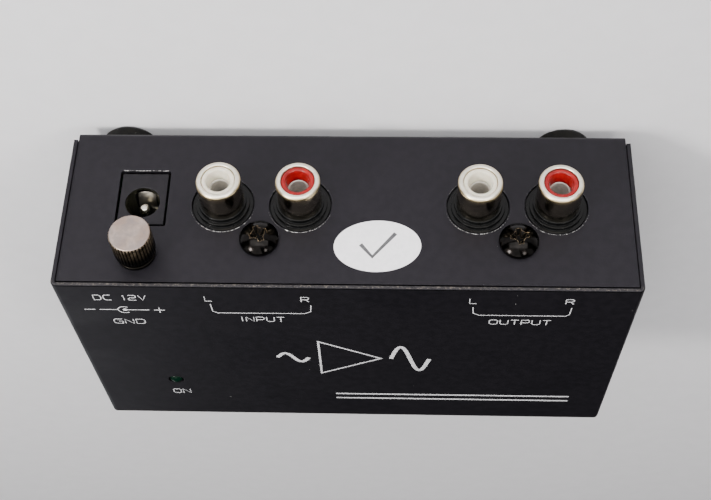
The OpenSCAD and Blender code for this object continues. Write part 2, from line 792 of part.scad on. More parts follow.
module led_spacer() {
  color([0.08, 0.08, 0.08])
  translate([led_x, led_y, z_board]) difference() {
    cylinder(r = led_flange_r + 0.3, h = led_base - z_board);
    for (s = [-1, 1]) translate([s * led_leg_x, 0, -cut])
      cylinder(r = 0.4, h = led_base - z_board + 2 * cut, $fn = 16);
  }
}

// Parts on the board

module op_amp(i) {
  p = on_board(op_amp_at[i]);
  color([0.07, 0.07, 0.07])
  translate([p[0] - dip[0] / 2, p[1] - dip[1] / 2, z_board + dip_up]) difference() {
    cube(dip);
    translate([0, dip[1] / 2, dip[2]]) cylinder(r = 0.8, h = 0.8, center = true);
  }
}

module op_amp_pins() {
  z = z_board + dip_up + dip[2] / 2;
  foot_z = z_board - board_t - lead_out;
  reach = dip_row - dip[1] / 2;
  pin_t = 0.25;
  color([0.75, 0.75, 0.72])
  for (p = op_amp_at, i = [-1.5 : 1 : 1.5], s = [-1, 1]) {
    c = on_board(p) + [i * dip_pitch, s * dip_row];
    union() {
      translate([c[0] - 0.7, s > 0 ? c[1] - reach : c[1] - pin_t / 2, z])
        cube([1.4, reach + pin_t / 2, pin_t]);
      translate([c[0] - 0.25, c[1] - pin_t / 2, foot_z]) cube([0.5, pin_t, z + pin_t - foot_z]);
    }
  }
}

module can(p, d, h) {
  translate([p[0], p[1], z_board]) rotate_extrude() difference() {
    square([d / 2, h]);
    translate([d / 2, 1.8]) circle(r = 0.3, $fn = 24);
    translate([0, h - 0.25]) square([d / 2 - 0.6, 1]);
  }
}

module reservoir_capacitors() {
  color([0.08, 0.1, 0.2]) for (p = reservoir_at) can(on_board(p), reservoir_d, reservoir_h);
}

module coupling_capacitors() {
  color([0.08, 0.08, 0.09]) for (p = coupling_at) can(on_board(p), coupling_d, coupling_h);
}

module film_capacitors() {
  color([0.65, 0.15, 0.1])
  for (q = film_at) {
    p = on_board(q);
    translate([p[0] - film_w / 2, p[1] - film_l / 2, z_board]) cube([film_w, film_l, film_h]);
  }
}

module capacitor_leads() {
  color([0.75, 0.75, 0.72])
  for (p = concat(reservoir_leads, coupling_leads, film_leads)) board_lead(p, z_board);
}

module resistor_bodies() {
  color([0.35, 0.6, 0.7])
  for (x = resistor_x)
    translate([x, board_back - resistor_near - resistor_span / 2, z_board + resistor_r + body_off])
    rotate([90, 0, 0]) cylinder(r = resistor_r, h = resistor_l, center = true);
}

module bent_lead(p, dy, z) {
  board_lead(p, z);
  translate([p[0], p[1], z]) sphere(r = lead_d / 2, $fn = 16);
  translate([p[0], p[1], z]) rotate([dy > 0 ? -90 : 90, 0, 0])
    cylinder(r = lead_d / 2, h = abs(dy), $fn = 16);
}

module resistor_leads() {
  reach = (resistor_span - resistor_l) / 2;
  z = z_board + resistor_r + body_off;
  color([0.75, 0.75, 0.72])
  for (x = resistor_x) {
    union() bent_lead([x, board_back - resistor_near], -reach, z);
    union() bent_lead([x, board_back - resistor_near - resistor_span], reach, z);
  }
}

module voltage_regulator() {
  p = on_board(regulator_at);
  z = z_board + regulator_up;
  r = regulator_d / 2;
  color([0.07, 0.07, 0.07])
  union() {
    translate([p[0], p[1], z]) intersection() {
      cylinder(r = r, h = regulator_h);
      translate([-r, -regulator_flat, 0]) cube([2 * r, 2 * r, regulator_h]);
    }
    for (q = regulator_leads) board_lead(q, z + fit, 0.25);
  }
}

module protection_diode() {
  p = on_board(diode_at);
  z = z_board + diode_d / 2 + body_off;
  reach = diode_span - diode_l / 2 + fit;
  color([0.06, 0.06, 0.06])
  union() {
    translate([p[0], p[1], z]) rotate([90, 0, 0]) cylinder(d = diode_d, h = diode_l, center = true);
    for (s = [-1, 1]) bent_lead(p + [0, s * diode_span], -s * reach, z);
  }
}

// Oval paper sticker on the panel
module round_sticker() {
  rim = [for (a = [0 : 7.5 : 352.5]) [sticker_w / 2 * cos(a), sticker_h / 2 * sin(a)]];
  color([0.92, 0.92, 0.9])
  from_panel(sticker_x, z_top - sticker_down) rotate([0, 0, sticker_turn])
    linear_extrude(sticker_t) polygon(rim);
}

white_insert = [0.9, 0.88, 0.82];
red_insert = [0.75, 0.05, 0.03];

chassis();
cover();
cover_screws();
foot(foot_x[0], foot_y[0]);  // foot_front_left
foot(foot_x[1], foot_y[0]);  // foot_front_right
foot(foot_x[0], foot_y[1]);  // foot_rear_left
foot(foot_x[1], foot_y[1]);  // foot_rear_right
foot_screws();
foot_nuts();
circuit_board();
board_standoffs();
board_screws();
rca_block(input_x);  // rca_block_input
rca_block(output_x);  // rca_block_output
rca_shell(rca_x[0]);  // rca_shell_input_left
rca_shell(rca_x[1]);  // rca_shell_input_right
rca_shell(rca_x[2]);  // rca_shell_output_left
rca_shell(rca_x[3]);  // rca_shell_output_right
rca_insert(rca_x[0], white_insert);  // rca_insert_input_left
rca_insert(rca_x[1], red_insert);  // rca_insert_input_right
rca_insert(rca_x[2], white_insert);  // rca_insert_output_left
rca_insert(rca_x[3], red_insert);  // rca_insert_output_right
rca_contact(rca_x[0]);  // rca_contact_input_left
rca_contact(rca_x[1]);  // rca_contact_input_right
rca_contact(rca_x[2]);  // rca_contact_output_left
rca_contact(rca_x[3]);  // rca_contact_output_right
block_screw(input_x, screw_turn_input);  // block_screw_input
block_screw(output_x, screw_turn_output);  // block_screw_output
dc_jack_body();
dc_jack_pin();
dc_jack_leaf();
dc_jack_terminals();
ground_thumb_screw();
ground_clamp_washer();
ground_lug();
ground_nut();
ground_wire();
led_lens();
led_legs();
led_spacer();
op_amp(0);  // op_amp_left
op_amp(1);  // op_amp_right
op_amp_pins();
reservoir_capacitors();
coupling_capacitors();
film_capacitors();
capacitor_leads();
resistor_bodies();
resistor_leads();
voltage_regulator();
protection_diode();
round_sticker();
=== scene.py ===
# %% [markdown]
# # A small phono preamplifier
# The object is a black box of folded sheet steel. One long side carries the sockets and
# the top is printed. The CAD model already has every piece at its real size and place.
# This lesson gives the pieces that show the edges, curves and finishes of the real ones.
# All sizes are real sizes: `MM` turns millimetres into Blender's metres.

import json
from math import atan2, cos, hypot, pi, radians, sin, tau

import bpy
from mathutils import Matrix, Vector


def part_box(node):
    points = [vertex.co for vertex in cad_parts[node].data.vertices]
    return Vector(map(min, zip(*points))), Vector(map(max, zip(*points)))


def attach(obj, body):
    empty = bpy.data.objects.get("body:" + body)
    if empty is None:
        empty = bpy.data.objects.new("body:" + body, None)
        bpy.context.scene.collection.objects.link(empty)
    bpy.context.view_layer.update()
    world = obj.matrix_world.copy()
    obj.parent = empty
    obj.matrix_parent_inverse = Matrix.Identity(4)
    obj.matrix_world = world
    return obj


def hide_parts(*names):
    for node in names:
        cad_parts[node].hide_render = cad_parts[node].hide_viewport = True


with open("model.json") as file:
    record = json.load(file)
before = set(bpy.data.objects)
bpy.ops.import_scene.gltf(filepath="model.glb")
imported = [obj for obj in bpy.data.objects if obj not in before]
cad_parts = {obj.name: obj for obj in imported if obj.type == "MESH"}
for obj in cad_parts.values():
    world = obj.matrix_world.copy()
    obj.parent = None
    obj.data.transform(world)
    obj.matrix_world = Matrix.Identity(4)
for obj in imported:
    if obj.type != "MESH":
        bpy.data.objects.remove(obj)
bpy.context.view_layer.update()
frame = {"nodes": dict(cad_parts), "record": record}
MM = 0.001
print("CAD nodes:", len(frame["nodes"]))

# %% [markdown]
# ## Camera
# The camera was solved from the corners of the case in the photograph, so its place, turn
# and lens are measured values. In the photograph the box stands on its narrow front edge.
# Here it lies on its feet, and the camera is rolled over instead: the picture's top is the
# underside of the box.

# %% Camera
CAMERA_AT = (0.0096142, 0.2197363, 0.1400598)
CAMERA_TURN = (-60.2567, 1.5109, -1.4819)
LENS = 62.253

bpy.ops.object.camera_add(location=CAMERA_AT, rotation=[radians(a) for a in CAMERA_TURN])
camera = bpy.context.object
camera.name = "photo_camera"
camera.data.sensor_width = 36
camera.data.lens = LENS
camera.data.clip_start = 0.01
bpy.context.scene.camera = camera
print("camera %.0f mm from the box's middle" % (Vector(CAMERA_AT).length / MM))

# %% [markdown]
# ## Places that the pieces share
# A designer measures from a few faces. Here they are read from the CAD nodes, so a changed
# size in the CAD moves the dressed pieces with it.

# %% Places read from the frame
def low(node):
    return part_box(node)[0] / MM


def high(node):
    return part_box(node)[1] / MM


def middle(node):
    return (low(node) + high(node)) / 2


PANEL = high("chassis").y
TOP = high("cover").z
SIDE = high("cover").x
SHEET = 0.8
SOCKETS = ("input_left", "input_right", "output_left", "output_right")
PHONO = {name: middle("rca_insert_" + name) for name in SOCKETS}
GROUND = middle("ground_clamp_washer")
LIGHT = middle("led_lens")
LIP = high("rca_shell_input_left").y
print("panel face at y = %.2f mm, top at z = %.2f mm" % (PANEL, TOP))

# %% [markdown]
# ## Floor and lights
# The photograph has a plain pale table and soft light. What makes it look real is what the
# shiny pieces reflect, so each soft light has one task. The ceiling and the wide window in
# front of the sockets give the panel its even sheen and the lips their white bead. Two
# small lamps make the two glints on each black screw and the light side of the knurl. A
# cool dim one behind keeps the far sides readable when the camera goes round, and three
# large ones far off keep the floor pale to the horizon. The world is dim as a light but
# pale where the camera sees it, so the wall behind a low view is as light as the table.

# %% Floor
bpy.ops.mesh.primitive_plane_add(size=8)
floor = bpy.context.object
floor.name = "floor"


# %% Lights
def soft_light(name, at, wide, tall, watts, tint, aim=(0, 0, 0.02)):
    """An area light that faces the object, or another aim, and isn't seen itself."""
    bpy.ops.object.light_add(type="AREA", location=at)
    lamp = bpy.context.object
    lamp.name = name
    lamp.rotation_euler = (Vector(aim) - Vector(at)).to_track_quat("-Z", "Y").to_euler()
    lamp.data.shape = "RECTANGLE"
    lamp.data.size, lamp.data.size_y = wide, tall
    lamp.data.energy = watts
    lamp.data.color = tint
    lamp.visible_camera = False


WARM, PLAIN, COOL = (1.0, 0.97, 0.93), (1.0, 0.99, 0.98), (0.96, 0.97, 1.0)
soft_light("lamp_left", (-0.27, 0.22, 0.29), 0.08, 0.08, 1.8, WARM)
soft_light("lamp_right", (0.20, 0.23, 0.33), 0.08, 0.08, 0.5, WARM)
soft_light("ceiling", (-0.12, 0.30, 0.60), 0.50, 0.50, 1.8, PLAIN)
soft_light("window", (0.0, 0.46, 0.17), 0.80, 0.24, 3.1, PLAIN)
soft_light("room_left", (-0.5, -0.9, 0.35), 0.40, 0.40, 0.8, COOL)
for side, x, y in (("back", 0, 2.6), ("left", -2.6, 0.6), ("right", 2.6, 0.6)):
    soft_light("far_floor_" + side, (x, y, 1.3), 2.4, 2.4, 26, PLAIN, (x, y, 0))

# %% The world: dim as a light, pale where it is seen
FILL_STRENGTH, WALL_STRENGTH, SKY = 0.06, 0.75, (0.80, 0.81, 0.84, 1)
world = bpy.data.worlds.new("studio")
bpy.context.scene.world = world
world.use_nodes = True
studio = world.node_tree
fill = studio.nodes["Background"]
wall = studio.nodes.new("ShaderNodeBackground")
for shade, strength in ((fill, FILL_STRENGTH), (wall, WALL_STRENGTH)):
    shade.inputs["Color"].default_value = SKY
    shade.inputs["Strength"].default_value = strength
rays = studio.nodes.new("ShaderNodeLightPath")
seen = studio.nodes.new("ShaderNodeMixShader")
studio.links.new(rays.outputs["Is Camera Ray"], seen.inputs["Fac"])
studio.links.new(fill.outputs[0], seen.inputs[1])
studio.links.new(wall.outputs[0], seen.inputs[2])
studio.links.new(seen.outputs[0], studio.nodes["World Output"].inputs["Surface"])

# %% [markdown]
# ## Node groups
# Real finishes share a few effects: the fine skin of sprayed paint, rubbed edges and dust.
# Each effect is a node group with named inputs, so a finish only sets its own amounts. All
# of them read Object coordinates, in metres, because every piece sits at the origin. A
# scale of 1000 is then one pattern cell to a millimetre.


# %% Helpers for node trees
def node(tree, kind, **values):
    """Adds a node and sets its properties, or its input sockets by name."""
    n = tree.nodes.new("ShaderNode" + kind)
    sockets = {s.name.lower(): s for s in n.inputs}
    for key, value in values.items():
        if hasattr(n, key):
            setattr(n, key, value)
        else:
            sockets[key.replace("_", " ").lower()].default_value = value
    return n


def wire(tree, *pairs):
    for start, end in pairs:
        tree.links.new(start, end)


def new_group(name, inputs, outputs):
    """An empty node group. Inputs are {name: default}, outputs are names."""
    tree = bpy.data.node_groups.new(name, "ShaderNodeTree")
    for label, value in inputs.items():
        s = tree.interface.new_socket(label, in_out="INPUT", socket_type="NodeSocketFloat")
        s.default_value = value
    for label in outputs:
        tree.interface.new_socket(label, in_out="OUTPUT", socket_type="NodeSocketFloat")
    return tree, tree.nodes.new("NodeGroupInput"), tree.nodes.new("NodeGroupOutput")


def ramp(tree, source, low_at, high_at, to_low=0.0, to_high=1.0):
    """Maps a range of source smoothly to another, and gives the result."""
    n = node(tree, "MapRange", interpolation_type="SMOOTHSTEP")
    labels = ("From Min", "From Max", "To Min", "To Max")
    for label, value in zip(labels, (low_at, high_at, to_low, to_high)):
        n.inputs[label].default_value = value
    wire(tree, (source, n.inputs["Value"]))
    return n.outputs["Result"]


def maths(tree, operation, a, b):
    n = node(tree, "Math", operation=operation)
    for socket, value in zip(n.inputs, (a, b)):
        if isinstance(value, (int, float)):
            socket.default_value = value
        else:
            wire(tree, (value, socket))
    return n.outputs[0]


# %% [markdown]
# ### Sprayed skin
# Sprayed or moulded surfaces have a fine orange-peel height, a slower drift in tone and
# broad patches where hands have polished or greased them. Three noises of different scale
# give those three, and the material chooses how much of each it takes.

# %% Group: sprayed skin
TONE_SHARE = 0.23  # the tone drifts this many times slower than the grain
skin, skin_in, skin_out = new_group(
    "Sprayed skin", {"Grain scale": 3000, "Patch scale": 60}, ("Height", "Tone", "Smudge")
)
at = node(skin, "TexCoord").outputs["Object"]
grain = node(skin, "TexNoise", detail=3.0, roughness=0.55)
tone = node(skin, "TexNoise", detail=2.0, roughness=0.5)
smudge = node(skin, "TexNoise", detail=4.0, roughness=0.62, distortion=0.6)
for n in (grain, tone, smudge):
    wire(skin, (at, n.inputs["Vector"]))
wire(
    skin,
    (skin_in.outputs["Grain scale"], grain.inputs["Scale"]),
    (maths(skin, "MULTIPLY", skin_in.outputs["Grain scale"], TONE_SHARE), tone.inputs["Scale"]),
    (skin_in.outputs["Patch scale"], smudge.inputs["Scale"]),
    (grain.outputs["Fac"], skin_out.inputs["Height"]),
    (ramp(skin, tone.outputs["Fac"], 0.3, 0.7), skin_out.inputs["Tone"]),
    (ramp(skin, smudge.outputs["Fac"], 0.38, 0.68), skin_out.inputs["Smudge"]),
)

# %% [markdown]
# ### Rubbed edges
# Edges catch hands and boxes, so paint and plating are thinner and brighter there. The
# Bevel node gives the normal that a rounded edge would have. Where it differs from the
# real normal there is an edge, and a noise breaks the mask up so that it isn't even.

# %% Group: rubbed edges
rubbed, rubbed_in, rubbed_out = new_group(
    "Rubbed edges", {"Radius": 0.0002, "Break scale": 2500}, ("Mask",)
)
rounded = node(rubbed, "Bevel", samples=4)
agree = node(rubbed, "VectorMath", operation="DOT_PRODUCT")
chips = node(rubbed, "TexNoise", detail=4.0)
wire(
    rubbed,
    (rubbed_in.outputs["Radius"], rounded.inputs["Radius"]),
    (rounded.outputs["Normal"], agree.inputs[0]),
    (node(rubbed, "NewGeometry").outputs["Normal"], agree.inputs[1]),
    (node(rubbed, "TexCoord").outputs["Object"], chips.inputs["Vector"]),
    (rubbed_in.outputs["Break scale"], chips.inputs["Scale"]),
)
edges = ramp(rubbed, agree.outputs["Value"], 0.99, 0.80)
broken = ramp(rubbed, chips.outputs["Fac"], 0.34, 0.62)
wire(rubbed, (maths(rubbed, "MULTIPLY", edges, broken), rubbed_out.inputs["Mask"]))

# %% [markdown]
# ### Dust
# The photograph shows tiny pale specks on the black paint. A Voronoi pattern puts one point
# in each cell. Only cells whose random colour is low keep theirs, so specks lie far apart
# and at random, each a few hundredths of a millimetre wide.

# %% Group: dust specks
dust, dust_in, dust_out = new_group(
    "Dust specks", {"Scale": 420, "Share": 0.12, "Size": 0.055}, ("Mask",)
)
cells = node(dust, "TexVoronoi")
own = node(dust, "SeparateColor")
wire(
    dust,
    (node(dust, "TexCoord").outputs["Object"], cells.inputs["Vector"]),
    (dust_in.outputs["Scale"], cells.inputs["Scale"]),
    (cells.outputs["Color"], own.inputs["Color"]),
)
reach = maths(dust, "MULTIPLY", own.outputs["Green"], dust_in.outputs["Size"])
near = maths(dust, "LESS_THAN", cells.outputs["Distance"], reach)
kept = maths(dust, "LESS_THAN", own.outputs["Red"], dust_in.outputs["Share"])
wire(dust, (maths(dust, "MULTIPLY", near, kept), dust_out.inputs["Mask"]))
print("node groups:", [g.name for g in (skin, rubbed, dust)])

# %% [markdown]
# ## Finishes
# Each finish is one Principled material. What is the same all over is set on its sockets.
# What changes over the surface comes from the groups: a tint mixed into the colour, a range
# mapped to the roughness, and a height for the Bump node. Most finishes are the same
# recipe with other amounts, so `two_tone` holds it: two tones that drift into each other,
# then rubbed edges and dust where they are asked for.

# %% Helpers for finishes
FINISH = {}


def new_finish(slot, metallic=0.0, **extra):
    """A Principled material for one of the record's slots."""
    material = bpy.data.materials.new(slot)
    material.use_nodes = True
    tree = material.node_tree
    surface = tree.nodes["Principled BSDF"]
    surface.inputs["Roughness"].default_value = 0.4
    surface.inputs["Metallic"].default_value = metallic
    for key, value in extra.items():
        surface.inputs[key.replace("_", " ")].default_value = value
    FINISH[slot] = material
    return tree, surface


def use_group(tree, group, **values):
    n = tree.nodes.new("ShaderNodeGroup")
    n.node_tree = group
    for key, value in values.items():
        n.inputs[key.replace("_", " ")].default_value = value
    return n.outputs


def tint(tree, amount, a, b):
    """Mixes two colours by a mask. Either one may be a socket."""
    n = node(tree, "Mix", data_type="RGBA")
    wire(tree, (amount, n.inputs["Factor"]))
    for socket, value in ((n.inputs[6], a), (n.inputs[7], b)):
        if isinstance(value, tuple):
            socket.default_value = (*value, 1)
        else:
            wire(tree, (value, socket))
    return n.outputs[2]


def part_of(tree, mask, share):
    return maths(tree, "MULTIPLY", mask, share)


def bump(tree, surface, height, depth):
    """Raises the surface by height times depth, in metres."""
    n = node(tree, "Bump", strength=1.0, distance=depth)
    wire(tree, (height, n.inputs["Height"]), (n.outputs["Normal"], surface.inputs["Normal"]))


def paint_with(tree, surface, colour, smudge, rough):
    """Feeds the colour, and a range of roughness from the smudge patches."""
    gloss = ramp(tree, smudge, 0, 1, *rough)
    wire(tree, (colour, surface.inputs["Base Color"]), (gloss, surface.inputs["Roughness"]))


# %% Helper: two_tone
def two_tone(slot, grain, patch, dark, light, rough, deep, edge=None, dusty=None, **sockets):
    """A finish of two tones.

    edge is (radius, break scale, share, colour of the bare edge).
    dusty is (scale, share, size, amount, colour of the specks).
    """
    tree, surface = new_finish(slot, **sockets)
    peel = use_group(tree, skin, Grain_scale=grain, Patch_scale=patch)
    colour = tint(tree, peel["Tone"], dark, light)
    if edge:
        radius, break_scale, share, bare = edge
        worn = use_group(tree, rubbed, Radius=radius, Break_scale=break_scale)
        colour = tint(tree, part_of(tree, worn["Mask"], share), colour, bare)
    if dusty:
        scale, share, size, amount, speck = dusty
        specks = use_group(tree, dust, Scale=scale, Share=share, Size=size)
        colour = tint(tree, part_of(tree, specks["Mask"], amount), colour, speck)
    paint_with(tree, surface, colour, peel["Smudge"], rough)
    bump(tree, surface, peel["Height"], deep)
    return tree, surface, colour


# %% [markdown]
# ### The black paint
# The case has a satin powder coat, nearly black with a trace of violet. It is a little
# uneven in gloss, its folds and cut edges look lighter, and dust sits on it.

# %% Finish: case paint
VIOLET = (0.94, 0.91, 1.0, 1)
two_tone(
    "case_paint", 2600, 45, (0.0042, 0.0038, 0.0052), (0.0064, 0.0057, 0.0077), (0.50, 0.42), 1e-5,
    edge=(0.00022, 1800, 0.3, (0.035, 0.034, 0.038)),
    dusty=(330, 0.35, 0.05, 1, (0.30, 0.29, 0.29)),
    Specular_IOR_Level=0.25, Specular_Tint=VIOLET,
)

# %% [markdown]
# ### Punched and cut edges
# A punch leaves a sharp edge that loses its paint first. There the bare steel shows through
# in small flecks, put only on the faces that turn towards the lamps, so they are partly wear
# and partly a painted highlight: the thin broken line of light round the openings. The cover's
# cut edge keeps more of its paint; it has dull brown flecks on a lighter tone, partly a painted
# highlight as well, and beside it a strip of darker paint is painted shade, the dark line next
# to the light one.

# %% Finish: punched edges
# Partly painted highlight: bright bare steel, given only to faces turned towards the lamps.
tree, surface = new_finish("bare_flecks_painted_highlight", Specular_IOR_Level=0.4)
peel = use_group(tree, skin, Grain_scale=9000, Patch_scale=2400)
bare = ramp(tree, peel["Smudge"], 0.30, 0.72)
colour = tint(tree, bare, (0.010, 0.010, 0.011), (0.62, 0.61, 0.60))
wire(tree, (bare, surface.inputs["Metallic"]))
paint_with(tree, surface, colour, peel["Smudge"], (0.42, 0.30))
bump(tree, surface, peel["Height"], 6e-6)

# %% Finish: the cover's cut edge
# Partly painted highlight: a lighter tone and brown flecks on the flat of the cut edge.
tree, surface = new_finish("cut_edge_painted_highlight", Specular_IOR_Level=0.3)
peel = use_group(tree, skin, Grain_scale=6000, Patch_scale=2400)
bare = ramp(tree, peel["Smudge"], 0.45, 1.0)
colour = tint(tree, peel["Tone"], (0.010, 0.009, 0.011), (0.022, 0.020, 0.022))
colour = tint(tree, part_of(tree, bare, 0.5), colour, (0.17, 0.145, 0.12))
paint_with(tree, surface, colour, peel["Smudge"], (0.50, 0.38))
bump(tree, surface, peel["Height"], 8e-6)

# %% Finish: the painted shade beside a cut edge
# Painted shade: darker paint that draws the dark line beside the cut edge.
two_tone(
    "edge_painted_shade", 3400, 200, (0.0012, 0.0011, 0.0014), (0.0030, 0.0028, 0.0034), (0.26, 0.36), 6e-6,
    Specular_IOR_Level=0.1,
)

# %% [markdown]
# ### Black screws, black mouldings and rubber
# The screws have a thin glossy black plating that shows brown on rubbed edges. The socket
# blocks are a smoother, glossier black plastic than the paint, while the power socket's
# face is satin and only its bore is polished. Rubber is rougher.

# %% Finishes: black screws and their recesses
two_tone(
    "black_screw", 5200, 240, (0.003, 0.0026, 0.0024), (0.007, 0.006, 0.0055), (0.12, 0.22), 8e-6,
    edge=(0.00024, 3200, 1, (0.36, 0.27, 0.17)),
    metallic=1.0, Coat_Weight=0.08, Coat_Roughness=0.10,
)
# Painted shade: the cross recess is darker than the head.
two_tone(
    "recess_painted_shade", 5200, 240, (0.0015, 0.0013, 0.0012), (0.0040, 0.0034, 0.0028), (0.45, 0.60), 1e-5,
    edge=(0.00020, 3200, 0.8, (0.28, 0.20, 0.12)),
    metallic=0.6, Specular_IOR_Level=0.2,
)

# %% Finishes: black mouldings
two_tone(
    "socket_plastic", 4200, 160, (0.0016, 0.0017, 0.0018), (0.0034, 0.0035, 0.0036), (0.20, 0.30), 5e-6,
    edge=(0.00012, 3000, 0.2, (0.02, 0.02, 0.021)),
    dusty=(700, 0.08, 0.06, 1, (0.25, 0.25, 0.24)),
    Specular_IOR_Level=0.18,
)
two_tone(
    "satin_plastic", 3200, 120, (0.0045, 0.0042, 0.0050), (0.0072, 0.0066, 0.0078), (0.42, 0.50), 8e-6,
    edge=(0.0002, 2600, 0.2, (0.03, 0.03, 0.03)),
    Specular_IOR_Level=0.24, Specular_Tint=VIOLET,
)
two_tone(
    "bore_gloss", 2600, 300, (0.020, 0.020, 0.013), (0.036, 0.035, 0.024), (0.10, 0.20), 3e-6,
    metallic=0.5, Specular_IOR_Level=0.7,
)

# %% Finish: rubber
two_tone(
    "foot_rubber", 6000, 300, (0.0018, 0.0018, 0.0016), (0.0048, 0.0046, 0.0036), (0.34, 0.55), 2e-5,
    dusty=(900, 0.2, 0.08, 1, (0.16, 0.155, 0.14)),
    Specular_IOR_Level=0.12,
)

# %% [markdown]
# ### Plated and turned metal
# Metal gets its life from roughness that varies, so every metal maps the smudge patches to
# roughness. The phono shells are bright nickel with a warm cast. Their sides are painted dark,
# which is painted shade where they would reflect the panel, a golden ring under the lip is a
# painted reflection, and the lip itself is nearly white, so three tones follow each other along
# the shell, and the lip is a little softer than the side.


# %% Finishes: metals
def along(tree, axis, start, end):
    """0 before one place and 1 after another, in mm along an axis."""
    parts = node(tree, "SeparateXYZ")
    wire(tree, (node(tree, "TexCoord").outputs["Object"], parts.inputs[0]))
    return ramp(tree, parts.outputs[axis], start * MM, end * MM)


def metal(slot, dark, light, edge, rough, deep=4e-6, metallic=1.0):
    """Bare or plated metal: two tones and bright rubbed edges."""
    worn = (0.00012, 4200, 1, edge)
    two_tone(slot, 6000, 260, dark, light, rough, deep, edge=worn, metallic=metallic)


NICKEL, ZINC = (0.85, 0.83, 0.76), (0.82, 0.82, 0.80)
metal("contact_metal", (0.56, 0.52, 0.43), (0.74, 0.71, 0.62), NICKEL, (0.16, 0.30), 2e-6)
metal("contact_satin", (0.50, 0.47, 0.42), (0.66, 0.62, 0.54), NICKEL, (0.30, 0.42), 2e-6)
metal("zinc_steel", (0.55, 0.56, 0.57), (0.70, 0.70, 0.68), ZINC, (0.24, 0.42))
metal("tinned_metal", (0.50, 0.50, 0.49), (0.68, 0.68, 0.66), (0.80, 0.80, 0.78), (0.28, 0.45))
SLEEVE_EDGE = (0.54, 0.51, 0.46)
metal("sleeve_satin", (0.44, 0.41, 0.37), (0.55, 0.52, 0.47), SLEEVE_EDGE, (0.50, 0.62), 2e-6, 0.35)

# %% Finish: the phono shells
tree, surface = new_finish("nickel_shell", metallic=1.0)
peel = use_group(tree, skin, Grain_scale=5200, Patch_scale=260)
worn = use_group(tree, rubbed, Radius=0.00012, Break_scale=4200)
# Painted shade: the shell's side is given a dark tone.
side_tone_painted_shade = tint(tree, peel["Tone"], (0.23, 0.205, 0.155), (0.34, 0.30, 0.235))
lip_tone = tint(tree, peel["Tone"], (0.78, 0.735, 0.61), (0.86, 0.82, 0.71))
# Painted reflection: a golden ring just below the lip.
colour = tint(tree, along(tree, "Y", LIP - 1.7, LIP - 0.6), side_tone_painted_shade, (0.64, 0.52, 0.31))
colour = tint(tree, along(tree, "Y", LIP - 0.34, LIP - 0.01), colour, lip_tone)
colour = tint(tree, part_of(tree, worn["Mask"], 0.2), colour, (0.90, 0.86, 0.76))
softer = part_of(tree, along(tree, "Y", LIP - 1.1, LIP - 0.35), 0.15)
gloss = maths(tree, "ADD", ramp(tree, peel["Smudge"], 0, 1, 0.14, 0.26), softer)
wire(tree, (colour, surface.inputs["Base Color"]), (gloss, surface.inputs["Roughness"]))
bump(tree, surface, peel["Height"], 1.5e-6)

# %% [markdown]
# ### The ground screw
# It is nickel over brass that has been handled: pinkish grey on the flat top, brassy on the
# knurl's ridges and nearly black in its grooves. The distance from the screw's own axis
# tells ridges from grooves. Towards the panel the knurl is painted nearly black, as painted shade.

# %% Finish: the ground screw's sides
GROOVE_AT, CREST_AT = 3.65, 3.84
tree, surface = new_finish("thumb_nickel", metallic=1.0)
peel = use_group(tree, skin, Grain_scale=4200, Patch_scale=260)
from_axis = node(tree, "VectorMath", operation="SUBTRACT")
from_axis.inputs[1].default_value = (GROUND.x * MM, 0, GROUND.z * MM)
flat = node(tree, "VectorMath", operation="MULTIPLY")
flat.inputs[1].default_value = (1, 0, 1)
radius = node(tree, "VectorMath", operation="LENGTH")
wire(
    tree,
    (node(tree, "TexCoord").outputs["Object"], from_axis.inputs[0]),
    (from_axis.outputs[0], flat.inputs[0]),
    (flat.outputs[0], radius.inputs[0]),
)
crest = ramp(tree, radius.outputs["Value"], GROOVE_AT * MM, CREST_AT * MM)
groove_tone = tint(tree, peel["Tone"], (0.010, 0.008, 0.006), (0.028, 0.021, 0.014))
crest_tone = tint(tree, peel["Tone"], (0.16, 0.115, 0.07), (0.55, 0.44, 0.30))
colour = tint(tree, crest, groove_tone, crest_tone)
# Painted shade: below PANEL + 3 mm the knurl fades to near black.
colour = tint(tree, along(tree, "Y", PANEL + 3.0, PANEL + 7.0), (0.008, 0.007, 0.006), colour)
paint_with(tree, surface, colour, peel["Smudge"], (0.30, 0.48))
bump(tree, surface, peel["Height"], 4e-6)

# %% Finish: the flat top of the ground screw
tree, surface = new_finish("thumb_face", metallic=1.0)
peel = use_group(tree, skin, Grain_scale=1500, Patch_scale=420)
fine_peel = use_group(tree, skin, Grain_scale=9000, Patch_scale=900)
worn = use_group(tree, rubbed, Radius=0.00016, Break_scale=1600)
colour = tint(tree, peel["Tone"], (0.33, 0.245, 0.20), (0.49, 0.395, 0.335))
colour = tint(tree, part_of(tree, peel["Smudge"], 0.7), colour, (0.27, 0.24, 0.235))
colour = tint(tree, part_of(tree, fine_peel["Tone"], 0.35), colour, (0.26, 0.215, 0.20))
colour = tint(tree, part_of(tree, worn["Mask"], 0.8), colour, (0.72, 0.62, 0.50))
paint_with(tree, surface, colour, peel["Smudge"], (0.42, 0.55))
bump(tree, surface, fine_peel["Height"], 1.2e-5)

# %% [markdown]
# ### Mouldings inside the shells
# The inserts are glossy plastic: off-white for left, red for right. Light enters such
# plastic a little way, which is what the subsurface weight is for, and grime collects
# where a plug rubs.


# %% Finishes: socket inserts
def insert_plastic(slot, light, dark, depth, shine):
    two_tone(
        slot, 3800, 500, light, dark, (0.18, 0.30), 6e-6,
        dusty=(1500, 0.10, 0.09, 0.5, (0.20, 0.17, 0.14)),
        Subsurface_Weight=depth, Subsurface_Scale=0.0006, Specular_IOR_Level=shine,
    )


insert_plastic("white_insert", (0.70, 0.655, 0.54), (0.62, 0.575, 0.46), 0.12, 0.3)
insert_plastic("red_insert", (0.27, 0.0036, 0.0046), (0.17, 0.0024, 0.0032), 0.02, 0.35)

# %% [markdown]
# ### Paper, ink and the light
# The sticker is coated paper with faint fibres. The print is a thin layer of white ink that
# covers the paint's grain unevenly. The light is a clear tinted plastic, off, so it looks
# dark green.

